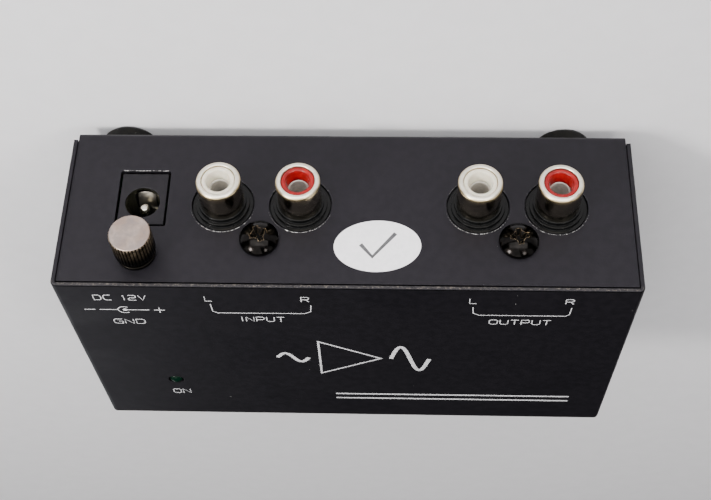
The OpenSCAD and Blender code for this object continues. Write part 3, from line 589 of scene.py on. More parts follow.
# %% Finishes: paper, inks, light
two_tone(
    "sticker_paper", 5000, 200, (0.84, 0.83, 0.86), (0.90, 0.89, 0.92), (0.35, 0.48), 8e-6,
    dusty=(600, 0.05, 0.05, 0.6, (0.35, 0.33, 0.32)),
    Specular_IOR_Level=0.4,
)
for ink_name, thin, thick in (
    ("print_white", (0.56, 0.56, 0.58), (0.70, 0.70, 0.73)),
    ("print_grey", (0.05, 0.05, 0.055), (0.085, 0.085, 0.09)),
):
    two_tone(ink_name, 7000, 500, thin, thick, (0.45, 0.6), 3e-6)
two_tone(
    "led_green", 900, 500, (0.0006, 0.0062, 0.0032), (0.0011, 0.013, 0.0068), (0.26, 0.36), 1e-5,
    Specular_IOR_Level=0.1,
)

# %% [markdown]
# ### Inside the case
# These finishes are hidden while the cover is on. They still get a grain, a drift in tone
# and a range of gloss, so the case can be opened. The board is painted dark brown near its
# front edge, close to the power socket's opening, as painted shade, so the slot looks dark.


# %% Finishes: inside
def plain_part(slot, dark, light, rough, grain=3000):
    bare = tuple(min(1, 2.2 * c + 0.03) for c in light)
    return two_tone(slot, grain, 180, dark, light, rough, 1e-5, edge=(0.00015, 2600, 0.3, bare))


BOARD_EDGE = high("circuit_board").y
tree, surface, varnish = plain_part(
    "board_green", (0.010, 0.070, 0.022), (0.016, 0.105, 0.035), (0.22, 0.36), 1400
)
# Painted shade: the board goes dark brown near its front edge.
slot_painted_shade = along(tree, "Y", BOARD_EDGE - 0.9, BOARD_EDGE - 0.3)
wire(tree, (tint(tree, slot_painted_shade, varnish, (0.008, 0.006, 0.004)), surface.inputs["Base Color"]))
plain_part("wire_sleeve", (0.015, 0.15, 0.04), (0.03, 0.22, 0.06), (0.35, 0.5))
plain_part("chip_black", (0.012, 0.012, 0.013), (0.022, 0.022, 0.023), (0.45, 0.62), 5200)
plain_part("can_sleeve", (0.010, 0.012, 0.028), (0.018, 0.020, 0.045), (0.18, 0.3))
plain_part("film_case", (0.26, 0.030, 0.014), (0.36, 0.045, 0.020), (0.3, 0.42))
plain_part("resistor_paint", (0.10, 0.24, 0.33), (0.16, 0.33, 0.42), (0.25, 0.4))
print("finishes:", len(FINISH))

# %% [markdown]
# ### The table
# The floor is pale card with a trace of violet, matt and slightly uneven.

# %% Finish: the table
card, surface = new_finish("floor_card")
surface.inputs["Roughness"].default_value = 0.75
fibre = use_group(card, skin, Grain_scale=900, Patch_scale=6)
pale = tint(card, fibre["Tone"], (0.815, 0.81, 0.84), (0.835, 0.83, 0.86))
wire(card, (pale, surface.inputs["Base Color"]))
bump(card, surface, fibre["Height"], 2e-5)
floor.data.materials.append(FINISH["floor_card"])

# %% [markdown]
# ## Modelling tools
# Every piece below is made as by hand: add a primitive, shape it in edit mode, finish it
# with modifiers. These few helpers hold the steps that repeat. `pick` selects in code what
# a person would click, by its place or its direction.


# %% Helpers for modelling
def only(piece):
    """Leaves edit mode and makes the piece all that operators act on."""
    if bpy.context.mode != "OBJECT":
        bpy.ops.object.mode_set(mode="OBJECT")
    bpy.ops.object.select_all(action="DESELECT")
    piece.select_set(True)
    bpy.context.view_layer.objects.active = piece


def edit(piece):
    only(piece)
    bpy.ops.object.mode_set(mode="EDIT")


def pick(piece, kind, wanted):
    """In edit mode, selects the VERTs by place, EDGEs by both ends or FACEs by centre and normal."""
    edit(piece)
    bpy.ops.mesh.select_mode(type=kind)
    bpy.ops.mesh.select_all(action="DESELECT")
    bpy.ops.object.mode_set(mode="OBJECT")
    mesh = piece.data
    if kind == "VERT":
        for v in mesh.vertices:
            v.select = bool(wanted(v.co / MM))
    elif kind == "EDGE":
        for e in mesh.edges:
            a, b = (mesh.vertices[i].co / MM for i in e.vertices)
            e.select = bool(wanted(a, b))
    else:
        for f in mesh.polygons:
            f.select = bool(wanted(f.center / MM, f.normal))
    bpy.ops.object.mode_set(mode="EDIT")


def use(piece, kind, **settings):
    """Adds a modifier and applies it."""
    only(piece)
    bpy.ops.object.modifier_add(type=kind)
    modifier = piece.modifiers[-1]
    for key, value in settings.items():
        setattr(modifier, key, value)
    bpy.ops.object.modifier_apply(modifier=modifier.name)


def cut(piece, *cutters):
    for cutter in cutters:
        use(piece, "BOOLEAN", operation="DIFFERENCE", object=cutter, solver="EXACT")
        bpy.data.objects.remove(cutter)


def add(piece, other):
    use(piece, "BOOLEAN", operation="UNION", object=other, solver="EXACT")
    bpy.data.objects.remove(other)


def join(piece, *others):
    """Joins other meshes into the piece."""
    only(piece)
    for other in others:
        other.select_set(True)
    bpy.ops.object.join()
    return piece


def smooth(piece, angle=35, weigh=True):
    """Smooth shading, with flat faces kept flat."""
    only(piece)
    bpy.ops.object.shade_smooth_by_angle(angle=radians(angle))
    if weigh:
        use(piece, "WEIGHTED_NORMAL", keep_sharp=True)


def soften(piece, width, segments=2, angle=30):
    """Rounds the sharp edges by a width in mm, as real edges are."""
    sharp = {"limit_method": "ANGLE", "angle_limit": radians(angle)}
    use(piece, "BEVEL", width=width * MM, segments=segments, **sharp)
    smooth(piece)


def bake_place(piece):
    only(piece)
    bpy.ops.object.transform_apply(location=True, rotation=True, scale=True)


def finish_piece(piece, name, slot, *stands_for, body="root", finish=None):
    """Bakes its place, gives it a finish, hangs it under its body and hides what it stands for."""
    bake_place(piece)
    piece.name = piece.data.name = name
    piece.data.materials.clear()
    piece.data.materials.append(FINISH[finish or slot])
    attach(piece, body)
    if stands_for:
        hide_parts(*stands_for)
    print("%-24s %6d faces" % (name, len(piece.data.polygons)))
    return piece


def dress_faces(piece, finish, wanted):
    """Gives another finish to the faces that a test picks, by centre in mm and normal."""
    piece.data.materials.append(FINISH[finish])
    for f in piece.data.polygons:
        if wanted(f.center / MM, f.normal):
            f.material_index = len(piece.data.materials) - 1


def box(x, y, z, across):
    """A box by its centre and its three sizes, in mm."""
    place = (x * MM, y * MM, z * MM)
    bpy.ops.mesh.primitive_cube_add(size=1, location=place, scale=[s * MM for s in across])
    bpy.ops.object.transform_apply(location=True, rotation=True, scale=True)
    return bpy.context.object


def rod(x, y, z, radius, length, axis="Y", vertices=96):
    """A cylinder by its centre, in mm, along an axis."""
    turn = {"X": (0, pi / 2, 0), "Y": (-pi / 2, 0, 0), "Z": (0, 0, 0)}[axis]
    bpy.ops.mesh.primitive_cylinder_add(
        vertices=vertices, radius=radius * MM, depth=length * MM,
        location=(x * MM, y * MM, z * MM), rotation=turn,
    )
    bpy.ops.object.transform_apply(location=True, rotation=True, scale=True)
    return bpy.context.object


# %% [markdown]
# ### Turning
# Most small parts here come off a lathe or out of a round mould. In Blender that is half a
# section, drawn point by point from a single vertex, its corners rounded with a vertex
# bevel, and spun round an axis. `points` are (radius, height) in mm. A section that starts
# and ends on the same point makes a ring, and one that starts and ends on the axis a solid.


# %% Helpers: outline and turned
def outline(points):
    """A line through points, drawn by extruding one vertex. It is left in edit mode."""
    bpy.ops.mesh.primitive_plane_add(size=MM)
    line = bpy.context.object
    edit(line)
    bpy.ops.mesh.select_mode(type="VERT")
    bpy.ops.mesh.merge(type="CENTER")
    last = (0, 0)
    for i, (r, h) in enumerate(points):
        step = ((r - last[0]) * MM, 0, (h - last[1]) * MM)
        if i == 0:
            bpy.ops.transform.translate(value=step)
        else:
            bpy.ops.mesh.extrude_region_move(TRANSFORM_OT_translate={"value": step})
        last = (r, h)
    bpy.ops.mesh.select_all(action="SELECT")
    bpy.ops.mesh.remove_doubles(threshold=1e-7)
    return line


def turned(points, rounds=None, steps=96, segments=5):
    """Spins a half section round Z. rounds is {point number: radius of its corner}."""
    piece = outline(points)
    for i, radius in (rounds or {}).items():
        corner = Vector((points[i][0], 0, points[i][1]))
        pick(piece, "VERT", lambda co: (co - corner).length < 1e-3)
        bpy.ops.mesh.bevel(offset=radius * MM, segments=segments, affect="VERTICES")
    bpy.ops.mesh.select_all(action="SELECT")
    bpy.ops.mesh.spin(steps=steps, angle=tau, center=(0, 0, 0), axis=(0, 0, 1))
    bpy.ops.mesh.select_all(action="SELECT")
    bpy.ops.mesh.remove_doubles(threshold=2e-7)
    bpy.ops.mesh.normals_make_consistent(inside=False)
    smooth(piece, 40)
    return piece


def face_out(piece, x, z, y=None):
    """Turns a piece that was made along +Z to point out of the panel, and puts it there."""
    piece.rotation_euler = (-pi / 2, 0, 0)
    piece.location = (x * MM, (PANEL if y is None else y) * MM, z * MM)
    bake_place(piece)
    return piece


def copy_to(piece, x, z, y=0, turn=(0, 0, 0)):
    """A copy with its own mesh, turned and then moved."""
    only(piece)
    bpy.ops.object.duplicate()
    twin = bpy.context.object
    twin.rotation_euler = turn
    twin.location = (x * MM, y * MM, z * MM)
    bake_place(twin)
    return twin


# %% [markdown]
# ## The cover
# The cover is one sheet folded into an upside-down U. A sheet is easiest as a plane: its two
# side edges are extruded down, the corners between them get the fold's radius with a bevel,
# and Solidify gives the sheet its thickness inwards. The edge over the connector panel is
# rounded by itself, more outside than inside, because it is what the light draws first. The
# screw dimples are pressed cones, so a cone is joined under each and another cut out of it.

# %% Cover: the folded sheet
FOLD, CUT_OUTER, CUT_INNER = 1.1, 0.32, 0.22
cover_low, cover_high = low("cover"), high("cover")
mid = (cover_low + cover_high) / 2
bpy.ops.mesh.primitive_plane_add(size=1, location=(0, mid.y * MM, TOP * MM))
cover = bpy.context.object
cover.scale = (2 * SIDE * MM, (cover_high.y - cover_low.y) * MM, 1)
bake_place(cover)


def side_edge(a, b):
    return abs(a.x) > SIDE - 0.1 and abs(b.x - a.x) < 0.1


pick(cover, "EDGE", side_edge)
bpy.ops.mesh.extrude_region_move(TRANSFORM_OT_translate={"value": (0, 0, (cover_low.z - TOP) * MM)})
pick(cover, "EDGE", lambda a, b: side_edge(a, b) and min(a.z, b.z) > TOP - 0.1)
bpy.ops.mesh.bevel(offset=FOLD * MM, segments=8, affect="EDGES")
use(cover, "SOLIDIFY", thickness=SHEET * MM, offset=-1)


def outside(co):
    """True on the outer skin of the cover, with its folds."""
    return hypot(max(abs(co.x) - SIDE + FOLD, 0), max(co.z - TOP + FOLD, 0)) > FOLD - 0.1


def cut_rim(a, b, outer):
    return min(a.y, b.y) > cover_high.y - 0.02 and outside(a) == outside(b) == outer


for width, outer in ((CUT_OUTER, True), (CUT_INNER, False)):
    pick(cover, "EDGE", lambda a, b: cut_rim(a, b, outer))
    bpy.ops.mesh.bevel(offset=width * MM, segments=4, affect="EDGES")
only(cover)

# %% Cover: dimples and the light's hole
CSK_R, HOLE_R, LIGHT_HOLE_R = 2.75, 1.7, 1.65
DISH_R, DISH_DEEP, PROUD, SET_IN = 2.9, 1.2, 0.2, 0.3
SCREW_Z = middle("cover_screws").z
SCREW_Y = (low("cover_screws").y + CSK_R, high("cover_screws").y - CSK_R)


def cone(x, y, z, r_inner, r_outer, depth, side):
    """A cone along X whose wide end is outside."""
    bpy.ops.mesh.primitive_cone_add(
        vertices=64, radius1=r_inner * MM, radius2=r_outer * MM, depth=depth * MM,
        location=((x - side * depth / 2) * MM, y * MM, z * MM), rotation=(0, side * pi / 2, 0),
    )
    bpy.ops.object.transform_apply(location=True, rotation=True, scale=True)
    return bpy.context.object


for side in (-1, 1):
    for y in SCREW_Y:
        backing = cone(
            side * (SIDE - SET_IN), y, SCREW_Z,
            HOLE_R + 1.2, DISH_R + 1.5, SHEET + DISH_DEEP - SET_IN, side,
        )
        add(cover, backing)
        dish = cone(
            side * (SIDE + PROUD), y, SCREW_Z, HOLE_R, DISH_R + PROUD, DISH_DEEP + PROUD, side
        )
        cut(cover, dish, rod(side * SIDE, y, SCREW_Z, HOLE_R, 8, "X", 64))
cut(cover, rod(LIGHT.x, LIGHT.y, TOP, LIGHT_HOLE_R, 4, "Z"))
soften(cover, 0.12)
finish_piece(cover, "cover_sheet", "case_paint", "cover")


def top_rim(c):
    return c.y > cover_high.y - CUT_OUTER and c.z > TOP - FOLD


# Partly painted highlight: the lighter finish on the flat of the cut edge that faces the lamps.
dress_faces(cover, "cut_edge_painted_highlight", lambda c, n: top_rim(c) and n.y > 0.95)
# Painted shade: the darker paint on the rounded outer cut edge.
dress_faces(cover, "edge_painted_shade", lambda c, n: top_rim(c) and 0.15 < n.y <= 0.95 and outside(c))

# %% [markdown]
# ## The chassis
# The other sheet is a U the right way up: floor, connector panel and front panel. It is made
# in the same way, then holes are cut for the sockets and small tabs added that the cover's
# screws go into. The panel's top edge stays a hair below the cover, which is the dark line
# between the two sheets. Elsewhere the sheet reaches nearly to the cover, so that no light
# comes through the case.

# %% Chassis: the folded sheet
floor_low, floor_high = low("chassis"), high("chassis")
SHADOW_GAP, SIDE_CLOSER, FRONT_CLOSER = 0.1, 0.22, 0.28
mid = (floor_low + floor_high) / 2
bpy.ops.mesh.primitive_plane_add(size=1, location=(0, mid.y * MM, floor_low.z * MM))
chassis = bpy.context.object
chassis.scale = (2 * (floor_high.x + SIDE_CLOSER) * MM, (floor_high.y - floor_low.y) * MM, 1)
bake_place(chassis)
edit(chassis)
bpy.ops.mesh.select_all(action="SELECT")
bpy.ops.mesh.flip_normals()
for y in (floor_low.y, floor_high.y):
    pick(chassis, "EDGE", lambda a, b: max(abs(a.y - y), abs(b.y - y), a.z - floor_low.z) < 0.1)
    rise = floor_high.z - floor_low.z + (-SHADOW_GAP if y > 0 else FRONT_CLOSER)
    bpy.ops.mesh.extrude_region_move(TRANSFORM_OT_translate={"value": (0, 0, rise * MM)})


def fold_line(a, b):
    along_x = abs(a.y - b.y) < 0.1 and abs(a.y - mid.y) > 20
    return along_x and max(a.z, b.z) < floor_low.z + 0.1


pick(chassis, "EDGE", fold_line)
bpy.ops.mesh.bevel(offset=FOLD * MM, segments=8, affect="EDGES")
edit(chassis)
bpy.ops.mesh.select_all(action="SELECT")
bpy.ops.mesh.normals_make_consistent(inside=False)
use(chassis, "SOLIDIFY", thickness=SHEET * MM, offset=-1)

# %% Chassis: holes
SOCKET_HOLE, GROUND_HOLE = 11.7, 4.5
block_x = [middle("block_screw_" + side).x for side in ("input", "output")]
block_z = middle("block_screw_input").z
dc_low, dc_high = low("dc_jack_body"), high("dc_jack_body")
dc_mid = (dc_low + dc_high) / 2
GAP, SHIFT, TALLER, CORNER = 0.36, 0.05, 0.2, 0.4
holes = [rod(p.x, PANEL, p.z, SOCKET_HOLE / 2, 4) for p in PHONO.values()]
holes += [rod(x, PANEL, block_z, HOLE_R, 4, vertices=48) for x in block_x]
holes += [rod(GROUND.x, PANEL, GROUND.z, GROUND_HOLE / 2, 4, vertices=48)]
opening_low, opening_high = dc_low.z - GAP, dc_high.z + GAP + TALLER
opening = box(
    dc_mid.x + SHIFT, PANEL, (opening_low + opening_high) / 2,
    (dc_high.x - dc_low.x + 2 * (GAP + SHIFT), 4, opening_high - opening_low),
)
pick(opening, "EDGE", lambda a, b: abs(a.y - b.y) > 1)
bpy.ops.mesh.bevel(offset=CORNER * MM, segments=6, affect="EDGES")
only(opening)
holes.append(opening)
FEET = ("front_left", "front_right", "rear_left", "rear_right")
for name in FEET:
    foot = middle("foot_" + name)
    holes.append(rod(foot.x, foot.y, floor_low.z, HOLE_R, 4, "Z", 32))
print("holes in the chassis:", len(holes))
cut(chassis, *holes)

# %% Chassis: tabs for the cover's screws
TAB_X, TAB_W, TAB_TOP, TAP_R = 51.5, 8, SCREW_Z + 4, 1.5
tab_low = floor_low.z + 0.02
tabs = []
for side in (-1, 1):
    for y in SCREW_Y:
        cut(chassis, box(side * (TAB_X + 1), y, floor_low.z, (2, TAB_W + 1, 4)))
        across = (SHEET, TAB_W, TAB_TOP - tab_low)
        tab = box(side * (TAB_X - SHEET / 2), y, (floor_low.z + TAB_TOP) / 2, across)
        cut(tab, rod(side * TAB_X, y, SCREW_Z, TAP_R, 4, "X", 32))
        tabs.append(tab)
join(chassis, *tabs)
soften(chassis, 0.1)

# %% [markdown]
# A punch drags a little metal with it, so each round hole has a burr, a rim a few hundredths
# of a millimetre high. It is a turned ring just outside the hole. The power opening has one
# on its lower edge only. Their faces that look towards +Z, where the lamps are, and the bar
# are bare metal, which is partly a painted highlight: the thin line of light.

# %% Chassis: burrs
BURR_IN, BURR_OUT, BURR_UP, SUNK = 5.86, 6.08, 0.06, -0.05
BAR_TALL, BAR_DOWN = 0.16, 0.09
burr = turned(
    [(BURR_IN, SUNK), (BURR_OUT, SUNK), (BURR_OUT, BURR_UP), (BURR_IN, BURR_UP), (BURR_IN, SUNK)],
    {2: 0.08, 3: 0.05}, 128,
)
face_out(burr, 0, 0)
bar_across = (dc_high.x - dc_low.x - 0.2, 2 * BURR_UP, BAR_TALL)
bar = box(dc_mid.x + SHIFT, PANEL, opening_low - BAR_DOWN, bar_across)
soften(bar, 0.05)
join(chassis, bar, *[copy_to(burr, p.x, p.z) for p in PHONO.values()])
bpy.data.objects.remove(burr)
finish_piece(chassis, "chassis_sheet", "case_paint", "chassis")


def painted_highlight_burr_faces(c, n):
    on_bar = dc_low.x < c.x < dc_high.x and c.z < opening_low
    return c.y > PANEL + 0.005 and (on_bar or n.z > 0.2)


# Painted highlight: only the burr faces turned towards the lamps, and the bar, get bare steel.
dress_faces(chassis, "bare_flecks_painted_highlight", painted_highlight_burr_faces)

# %% [markdown]
# ## The phono sockets
# Each socket is a nickel shell with a rolled lip, a plastic insert with a funnel that guides
# the plug, and a sprung metal sleeve behind it. Each is turned once and copied to its four
# places. The lip's outer round is large, because the white bead on it and the golden ring
# under it, a painted reflection, are what the eye finds first. The black block behind the
# panel shows as three low steps round each shell.

# %% Phono sockets: shells
SHELL_R, BORE_R, NECK_R, REACH, BOSS_TOP = 4.1, 3.1, 3.6, 8.4, 1.5
BLOCK_BACK = low("rca_block_input").y - PANEL
TAIL = BLOCK_BACK - 0.5
LUG_W, LUG_T = 1.6, 0.5
shell = turned(
    [
        (BORE_R, TAIL), (NECK_R, TAIL), (NECK_R, BOSS_TOP), (SHELL_R, BOSS_TOP), (SHELL_R, REACH),
        (BORE_R, REACH), (BORE_R, TAIL),
    ],
    {3: 0.12, 4: 0.72, 5: 0.24},
    192,
    10,
)
face_out(shell, 0, 0)
for name, p in PHONO.items():
    lug_low, lug_high = low("rca_shell_" + name).z, p.z - BORE_R - 0.2
    lug_across = (LUG_W, LUG_T, lug_high - lug_low)
    lug = box(p.x, PANEL + TAIL + LUG_T / 2, (lug_low + lug_high) / 2, lug_across)
    soften(lug, 0.08)
    one = join(copy_to(shell, p.x, p.z), lug)
    finish_piece(one, "phono_shell_" + name, "nickel_shell", "rca_shell_" + name)
bpy.data.objects.remove(shell)

# %% Phono sockets: inserts and sleeves
FACE = REACH - 0.25
INSERT_R, FUNNEL_TOP, FUNNEL_HOLE, FUNNEL_DEEP = 3.05, 2.3, 1.85, 2.0
SLEEVE_R, SLEEVE_BORE, SLEEVE_LEN, SLEEVE_DEEP, LEG_R = 2.1, 1.65, 11, 9.5, 0.5
MOUTH = FACE - 2.5
SEAT_R = SLEEVE_R + 0.05
insert = turned(
    [
        (SEAT_R, BLOCK_BACK), (INSERT_R, BLOCK_BACK), (INSERT_R, FACE), (FUNNEL_TOP, FACE),
        (FUNNEL_HOLE, FACE - FUNNEL_DEEP), (FUNNEL_HOLE, MOUTH), (SEAT_R, MOUTH),
        (SEAT_R, BLOCK_BACK),
    ],
    {2: 0.2, 3: 0.32, 4: 0.14},
)
face_out(insert, 0, 0)
sleeve = turned(
    [
        (0, MOUTH - SLEEVE_LEN), (SLEEVE_R, MOUTH - SLEEVE_LEN), (SLEEVE_R, MOUTH),
        (SLEEVE_BORE, MOUTH), (SLEEVE_BORE, MOUTH - SLEEVE_DEEP), (0, MOUTH - SLEEVE_DEEP),
    ],
    {2: 0.06, 3: 0.3},
)
cut(sleeve, box(0, -SLEEVE_R, MOUTH - 2, (0.4, 2, 6)))
face_out(sleeve, 0, 0)
for name, p in PHONO.items():
    colour_slot = "white_insert" if name.endswith("left") else "red_insert"
    finish_piece(copy_to(insert, p.x, p.z), "phono_insert_" + name, colour_slot, "rca_insert_" + name)
    leg_low = low("rca_contact_" + name)
    leg_y, back = leg_low.y + LEG_R, PANEL + MOUTH - SLEEVE_LEN
    legs = [
        rod(p.x, (leg_y + back) / 2, p.z, LEG_R, back - leg_y + 0.1, "Y", 24),
        rod(p.x, leg_y, (leg_low.z + p.z) / 2, LEG_R, p.z - leg_low.z, "Z", 24),
    ]
    for leg in legs:
        soften(leg, 0.1)
    one = join(copy_to(sleeve, p.x, p.z), *legs)
    finish_piece(
        one, "phono_sleeve_" + name, "contact_metal", "rca_contact_" + name, finish="sleeve_satin"
    )
bpy.data.objects.remove(insert)
bpy.data.objects.remove(sleeve)

# %% [markdown]
# The block is a box with a raised nose for its screw. The three steps round each shell are
# one turned ring, with small rounds on its corners because the highlights on them are what
# shows most in the photograph.

# %% Phono sockets: moulded blocks
FLUSH, RIM_UP, ROOT = -0.15, 0.6, -0.85
STEP_R = (5.65, 5.0, 4.45)
NOSE_W, BOLT_R = 9, 1.5
HOLE_IN_BLOCK = NECK_R + 0.05
steps_ring = turned(
    [
        (HOLE_IN_BLOCK, ROOT), (STEP_R[0], ROOT), (STEP_R[0], FLUSH), (STEP_R[1], FLUSH),
        (STEP_R[1], RIM_UP), (STEP_R[2], RIM_UP), (STEP_R[2], BOSS_TOP),
        (HOLE_IN_BLOCK, BOSS_TOP), (HOLE_IN_BLOCK, ROOT),
    ],
    {2: 0.07, 3: 0.05, 4: 0.08, 5: 0.05, 6: 0.10, 7: 0.05},
    160,
)
face_out(steps_ring, 0, 0)
for side, screw_x in zip(("input", "output"), block_x):
    node_name = "rca_block_" + side
    b_low, b_high = low(node_name), high(node_name)
    back, front = b_low.y, PANEL - SHEET
    shoulder = PHONO[side + "_left"].z + SOCKET_HOLE / 2
    y, deep = (back + front) / 2, front - back
    tall, nose_tall = shoulder - b_low.z, b_high.z - b_low.z
    body = box(screw_x, y, (b_low.z + shoulder) / 2, (b_high.x - b_low.x, deep, tall))
    add(body, box(screw_x, y, (b_low.z + b_high.z) / 2, (NOSE_W, deep, nose_tall)))
    cut(body, rod(screw_x, PANEL - 4, block_z, BOLT_R, 10, vertices=32))
    pair = [PHONO[side + end] for end in ("_left", "_right")]
    for p in pair:
        cut(body, rod(p.x, PANEL - 6, p.z, HOLE_IN_BLOCK, 20, vertices=64))
    soften(body, 0.25)
    rings = [copy_to(steps_ring, p.x, p.z) for p in pair]
    finish_piece(join(body, *rings), "phono_block_" + side, "socket_plastic", node_name)
bpy.data.objects.remove(steps_ring)

# %% [markdown]
# ## Screws
# A pan head is a turned dome. Its cross recess is a cutter: a small box whose four sides are
# extruded into arms, then narrowed at its bottom, as the driver's tip is. A cone opens the
# middle. The recess has a darker, duller finish, painted shade that keeps the cross black under
# the sheen.


# %% Screws: helpers
def cross_cutter(span, arm, depth):
    """A tapered cross that reaches down from z = 0."""
    cutter = box(0, 0, -depth / 2 + 0.5, (arm, arm, depth + 1))
    pick(cutter, "FACE", lambda c, n: abs(n.z) < 0.5)
    bpy.ops.mesh.extrude_faces_move(TRANSFORM_OT_shrink_fatten={"value": (span - arm) / 2 * MM})
    pick(cutter, "VERT", lambda co: co.z < -depth + 0.1)
    bpy.ops.transform.resize(value=(0.5, 0.5, 1), center_override=(0, 0, 0))
    only(cutter)
    return cutter


RINGS = 28
ARM_SPAN, ARM_W, ARM_DEEP = 1.16, 0.33, 0.72
CORE_TIP, CORE_TOP, CORE_DROP = 0.14, 0.44, 0.12


def pan_screw(head_r, head_h, shank_r, length, turn=0):
    """A dome on a short straight wall, above z = 0, and a shank below."""
    wall = head_h * 0.3
    rise = head_h - wall
    bend = (head_r**2 + rise**2) / (2 * rise)
    arc = [
        (bend * sin(a), head_h - bend + bend * cos(a))
        for a in [i / RINGS * atan2(head_r, bend - rise) for i in range(RINGS + 1)]
    ]
    rounds = {RINGS: 0.18, RINGS + 1: 0.12}
    head = turned(arc + [(head_r, 0), (shank_r, 0), (shank_r, -length), (0, -length)], rounds, 128)
    arms = cross_cutter(head_r * ARM_SPAN, head_r * ARM_W, head_h * ARM_DEEP)
    tip, top = CORE_TIP * head_r * MM, CORE_TOP * head_r * MM
    bpy.ops.mesh.primitive_cone_add(vertices=48, radius1=tip, radius2=top, depth=head_h * MM)
    core = bpy.context.object
    core.location.z = -CORE_DROP * head_h * MM
    bake_place(core)
    for cutter in (arms, core):
        cutter.location.z = head_h * MM
        cutter.rotation_euler.z = radians(turn)
        bake_place(cutter)
    cut(head, arms, core)
    sharp = {"limit_method": "ANGLE", "angle_limit": radians(40)}
    use(head, "BEVEL", width=0.05 * MM, segments=2, **sharp)
    smooth(head, 40, False)
    return head


# %% Screws: the two that hold the socket blocks
DOME_DROP, RECESS_SHARE, SKIN_DEEP, SHANK_R, SHANK = 0.118, 0.62, 0.09, 1.45, 8
for side, screw_x, turn in zip(("input", "output"), block_x, (25, 8)):
    face = high("block_screw_" + side).y
    head_r = (high("block_screw_" + side) - low("block_screw_" + side)).x / 2
    screw = pan_screw(head_r, face - PANEL, SHANK_R, SHANK, turn)
    face_out(screw, screw_x, block_z)
    finish_piece(screw, "panel_screw_" + side, "black_screw", "block_screw_" + side)

    def in_recess(c, n):
        off = hypot(c.x - screw_x, c.z - block_z)
        dome = face - off**2 * DOME_DROP
        return off < RECESS_SHARE * head_r and PANEL < c.y < dome - SKIN_DEEP

    # Painted shade: the faces inside the recess get the darker finish.
    dress_faces(screw, "recess_painted_shade", in_recess)

# %% Screws: the countersunk ones in the cover's sides
CSK_DEEP, CSK_LEN, CSK_SUNK = 1.3, 6, 0.1
CROSS_SPAN, CROSS_W, CROSS_DEEP = 3, 0.8, 1.0
flat_head = turned(
    [
        (0, 0), (CSK_R, 0), (CSK_R, -0.2), (SHANK_R, -CSK_DEEP), (SHANK_R, -CSK_LEN), (0, -CSK_LEN),
    ],
    {1: 0.08}, 64,
)
cut(flat_head, cross_cutter(CROSS_SPAN, CROSS_W, CROSS_DEEP))
soften(flat_head, 0.06, 2, 40)
heads = [
    copy_to(flat_head, side * (SIDE - CSK_SUNK), SCREW_Z, y, (0, side * pi / 2, 0))
    for side in (-1, 1) for y in SCREW_Y
]
bpy.data.objects.remove(flat_head)
finish_piece(join(*heads), "side_screws", "black_screw", "cover_screws")

# %% [markdown]
# ## The power socket
# A barrel socket is a box with a round bore. In the bore stands a pin, and a bowed leaf
# spring presses on the plug from one side. The body is cut from a box, and its edges are
# rounded before the cuts, while they are still whole. The leaf is a flat grid whose rows are
# moved to the curve before Solidify makes it a strip.

# %% Power socket: body
jack = box(dc_mid.x, dc_mid.y, dc_mid.z, tuple(dc_high - dc_low))
soften(jack, 0.16, 3)
BORE, BORE_DEEP, BORE_RIM, BORE_UP = 3.25, 9, 0.14, 6.4
LEAF_ROOM, PIN_ROOM = (4.1, 12.7, 3.6), (1.3, 8, 1.3)
DC_Z = dc_low.z + BORE_UP
bore_y = dc_high.y - BORE_DEEP
cut(
    jack,
    rod(dc_mid.x, bore_y + 10, DC_Z, BORE, 20),
    box(dc_mid.x, dc_low.y + 6.3, DC_Z - 3.7, LEAF_ROOM),
    box(dc_mid.x, dc_low.y, DC_Z, PIN_ROOM),
)


def from_bore(co):
    return hypot(co.x - dc_mid.x, co.z - DC_Z)


pick(jack, "EDGE", lambda a, b: min(a.y, b.y) > dc_high.y - 0.01 and from_bore(a) < BORE + 0.05)
bpy.ops.mesh.bevel(offset=BORE_RIM * MM, segments=3, affect="EDGES")
smooth(jack)
finish_piece(jack, "power_socket_body", "socket_plastic", "dc_jack_body", finish="satin_plastic")
dress_faces(
    jack, "bore_gloss",
    lambda c, n: bore_y + 0.1 < c.y < dc_high.y - 0.13 and from_bore(c) < BORE + 0.02,
)

# %% Power socket: pin
PIN_R, TIP_R, TIP_LEN, STEM_R = 1.05, 0.6, 0.55, 0.5
pin_low, pin_high = low("dc_jack_pin"), high("dc_jack_pin")
pin = turned(
    [
        (0, pin_high.y), (TIP_R, pin_high.y), (PIN_R, pin_high.y - TIP_LEN), (PIN_R, bore_y),
        (STEM_R, bore_y), (STEM_R, dc_low.y), (0, dc_low.y),
    ],
    {1: 0.22, 2: 0.2},
    48,
)
face_out(pin, dc_mid.x, DC_Z, 0)
blade_across = (LUG_W, LUG_T, pin_high.z - pin_low.z)
blade = box(dc_mid.x, dc_low.y - LUG_T, (pin_low.z + pin_high.z) / 2, blade_across)
soften(blade, 0.08)
finish_piece(join(pin, blade), "power_socket_pin", "contact_metal", "dc_jack_pin")

# %% Power socket: leaf spring
LEAF_W, LEAF_T, LEAF_LEN, LEAF_ROWS, LEAF_DOWN = 3.4, 0.3, 10.2, 24, 4.55
LEAF_START, LEAF_RISE, LEAF_SWING = 3, 2, 300
leaf_y, leaf_z = low("dc_jack_leaf").y, DC_Z - LEAF_DOWN


def bow(s):
    """Height of the leaf at a distance from its root."""
    if s < LEAF_START:
        return 0
    share = (s - LEAF_START) / (LEAF_LEN - LEAF_START)
    return LEAF_RISE * (1 - cos(radians(share * LEAF_SWING))) / 2


